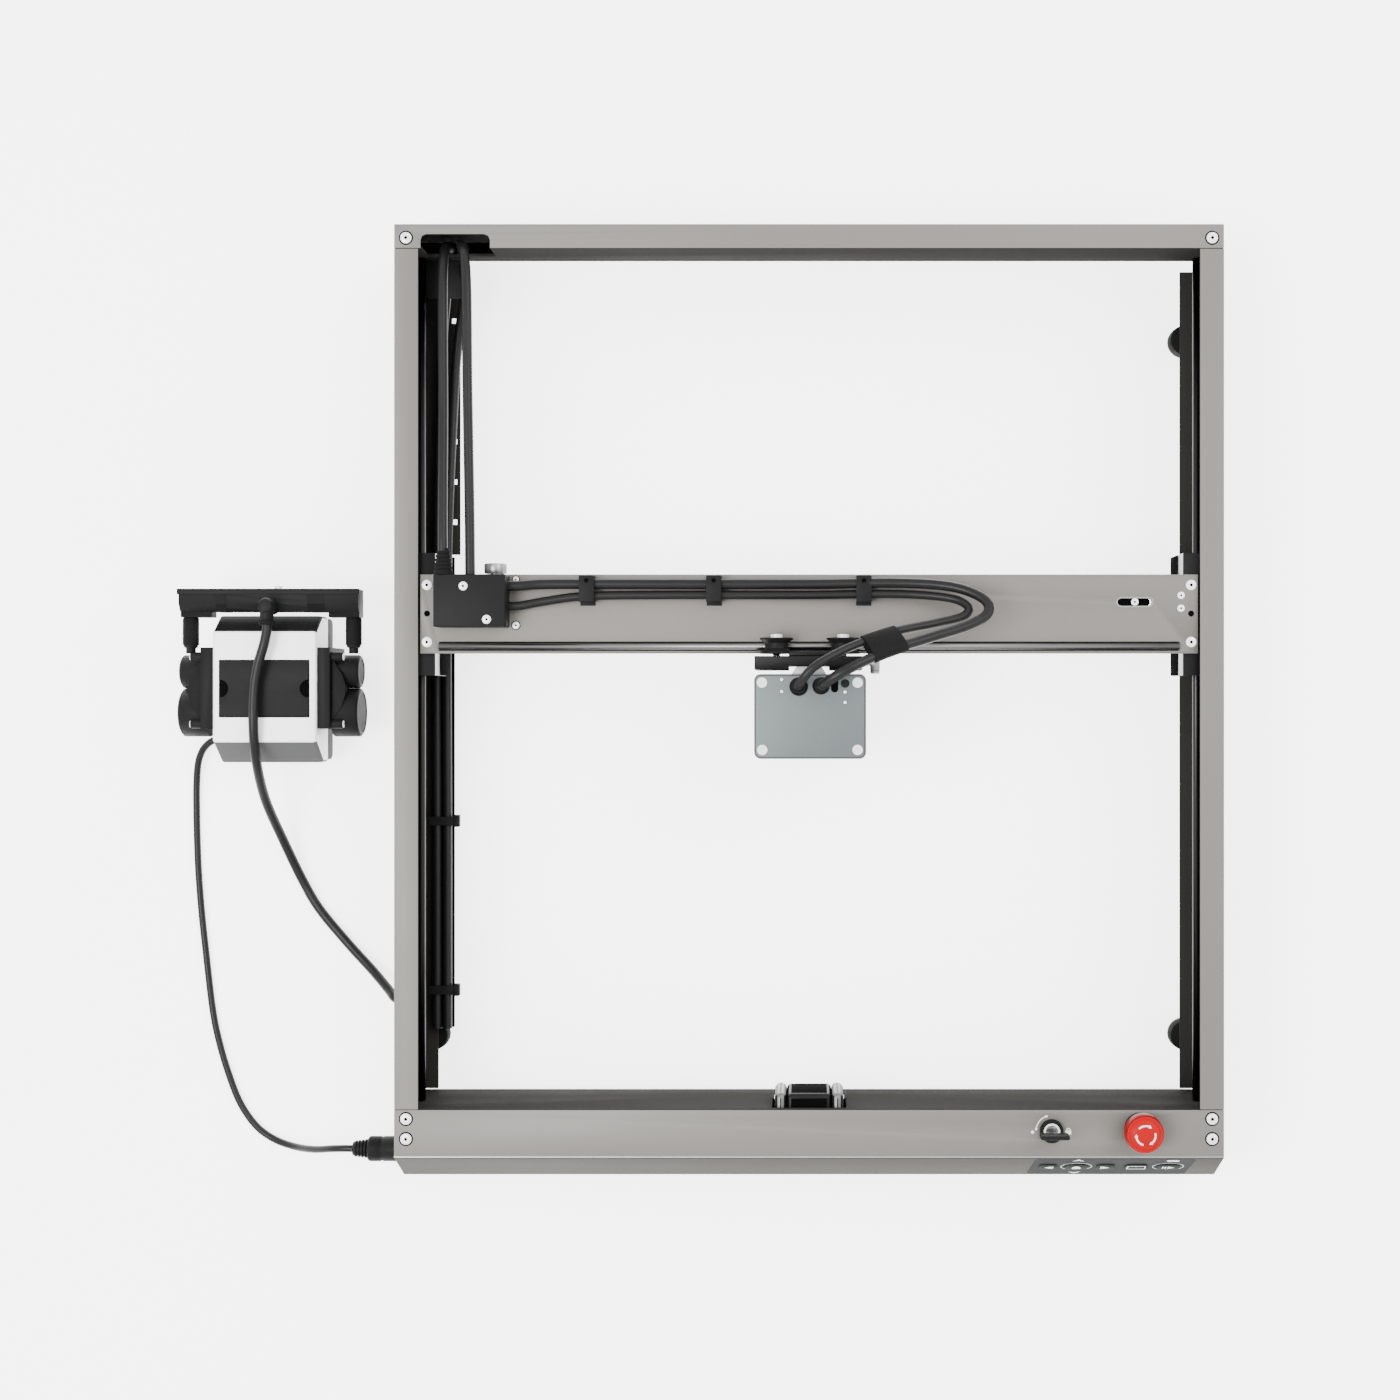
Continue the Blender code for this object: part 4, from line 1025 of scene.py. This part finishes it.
PUMP = (LAYOUT_X - 302.5, 6.0)
PUMP_HALF_W = 37.0
PUMP_LOW = 26.0
PUMP_TOP = 60.0
HATCH_X = 31.8
HATCH_Y = (-14.5, 25.7)


def by_pump(x, y, z):
    """A place given from the pump's own middle, on the desk."""
    return (x + PUMP[0], y + PUMP[1], z)


def make_pump():
    """The pump's moulded cover with its dark hatch, and the small fittings round it."""
    outline = [(-47.5, PUMP_LOW), (-47.5, 38), (-32.6, 59.1), (-31.4, PUMP_TOP), (45.4, PUMP_TOP),
               (46.4, 59.3), (58, 42), (58, PUMP_LOW)]
    shape = pushed_out([(-PUMP_HALF_W, y, z) for y, z in outline], (2 * PUMP_HALF_W, 0, 0))
    rims = [e for e in shape.edges if abs(e.verts[0].co.x - e.verts[1].co.x) < 0.01
            and max(v.co.z for v in e.verts) > PUMP_LOW + 1]
    bmesh.ops.bevel(shape, geom=rims, offset=2.6, segments=4, profile=0.5, affect="EDGES",
                    clamp_overlap=True)
    # painted shade: the white cover's front faces take grey and its rear faces black, while its top stays
    # white
    for face in shape.faces:
        if abs(face.normal.y) > 0.45 and face.calc_center_median().z < PUMP_TOP - 1:
            face.material_index = 1 if face.normal.y < 0 else 2
    add_piece("pump_shell", shape, ["white", "grey_and_painted_shade", "black"], "frame", by_pump(0, 0, 0), sharp=28,
              stands_for=("pump_cover",), slot="white_plastic")
    bite, middle = 6.4, 5.6  # the finger holes in the hatch's two ends
    curve = [polar(bite, math.radians(-90 + 15 * i)) for i in range(13)]
    low, high = HATCH_Y
    points = [(-HATCH_X, low), (HATCH_X, low), *((HATCH_X - x, middle + y) for x, y in curve),
              (HATCH_X, high), (-HATCH_X, high), *((x - HATCH_X, middle - y) for x, y in curve)]
    # painted shade: a dark border round the hatch for the gap it sits in
    seat = round_rect((-HATCH_X - 0.5, HATCH_X + 0.5), (low - 0.5, high + 0.5), 0.6)
    on_top = by_pump(0, 0, PUMP_TOP)
    mark("pump_hatch_gap_shade", seat, "frame", on_top, look="deep", slot="black_plastic")
    add_piece("pump_hatch", slab(points, 0.05, 0.8, 0.25), "black", "frame", on_top)
    ribbed_relief("pump_relief", by_pump(-36.5, -31, 12), "frame", 2.6, 4.9, 7.6, 3, "-X")
    for side, word, towards in SIDES:
        for number, y in enumerate((-19.6, 28.4)):
            boss = [(3.4, 0), (3.4, 7.6), (3.0, 8.2), (2.2, 8.3)]
            add_turned(f"pump_boss_{word}_{number}", boss, 24, "black", "frame",
                       by_pump(side * 46.2, y, 52), towards)
            screw(f"pump_screw_{word}_{number}", by_pump(side * 54.5, y, 52), 2.6, "frame", towards,
                  ring=False)
        for end, (y, z, radius) in enumerate(((18, 38, 10.6), (-11.5, 36, 16.1))):
            disc = turned([(radius, 0), (radius, 0.5), (radius - 0.5, 0.9), (radius - 1.6, 0.9),
                           (radius - 2.0, 0.5), (1, 0.5)], 44)
            for face in disc.faces:
                if math.hypot(*face.calc_center_median().xy) < radius - 1.6:
                    face.material_index = 1
            add_piece(f"head_disc_{word}_{end}", disc, ["grey_and_painted_shade", "black"], "frame",
                      by_pump(side * (PUMP_HALF_W + 26.6), y, z), TOWARDS[towards], slot="white_plastic")
        web = [(46.2, 26), (54, 16), (56.5, 8), (56.5, 2), (54, -7), (46.2, -18)]
        points = [(side * x, y) for x, y in web][::side]
        add_piece(f"head_web_{word}", slab(points, 44, 53.8, 0.5), "shrink", "frame", by_pump(0, 0, 0))
    # painted shade: two dark plates on the manifold's top for its shaded recessed facets
    section = [(60.2, 44.2), (60.2, 58.1), (65.9, 62.2), (76.3, 62.2), (76.3, 44.2)]
    for number, xs in enumerate(((-34, -27), (31, 43))):
        facet = stack([[(x, y, z) for y, z in section] for x in xs])
        add_piece(f"manifold_facet_painted_shade_{number}", facet, "shrink", "frame", by_pump(0, 0, 0))
    add_box("manifold_lip", (-61.6, 68.1), (72.6, 76.6), (60.6, 62.6), 0.4, "black", "frame",
            by_pump(0, 0, 0))
    collar = [(4.0, 0), (5.6, 0), (5.8, 0.6), (5.8, 2.4), (5.4, 3), (4.0, 3)]
    add_turned("spout_collar", collar, 36, "rubber", "frame", by_pump(4.5, 53.6, 70), "-Y",
               slot="rubber")
    cap = [(2.8, 0), (2.8, 2), (2.2, 2.5), (0.5, 2.6)]
    add_turned("manifold_screw", cap, 20, "screw", "frame", by_pump(9, 76.4, 56), "+Y")
    for x, word in ((-55.2, "left"), (61.4, "right")):
        sleeve = [(4.0, 0), (5.4, 0), (5.7, 0.5), (5.7, 19), (5.4, 19.5), (4.0, 19.5)]
        add_turned(f"manifold_sleeve_{word}", sleeve, 32, "rubber", "frame", by_pump(x, 56.2, 50), "-Y",
                   slot="rubber")


# Floor ----------------------------------------------------


def make_floor():
    """A plain pale floor that glows a little, so that it stays even right across the view."""
    shape = bmesh.new()
    bmesh.ops.create_grid(shape, x_segments=1, y_segments=1, size=FLOOR_SIZE)
    mesh = bpy.data.meshes.new("floor")
    shape.to_mesh(mesh)
    shape.free()
    look = Nodes("pale_floor")
    cloud = look.noise(1.4, 2.0)
    base = look.mix(look.between(cloud, 0, 1), (0.88, 0.88, 0.88), (0.90, 0.90, 0.90))
    mesh.materials.append(look.wire(Base_Color=base, Roughness=0.9, Specular_IOR_Level=0.1,
                                    Emission_Color=(1, 1, 1, 1), Emission_Strength=FLOOR_GLOW))
    floor = bpy.data.objects.new("floor", mesh)
    bpy.context.scene.collection.objects.link(floor)


def write_sizes():
    """Imports json and does nothing more."""
    import json


make_camera()
LOOKS = make_looks()
make_cords()
make_studio()
make_cad_looks()
make_gantry()
make_held_leads()
make_head()
make_sleeve()
make_motor()
make_controls()
make_panel()
make_pump()
make_screws()
make_floor()
write_sizes()
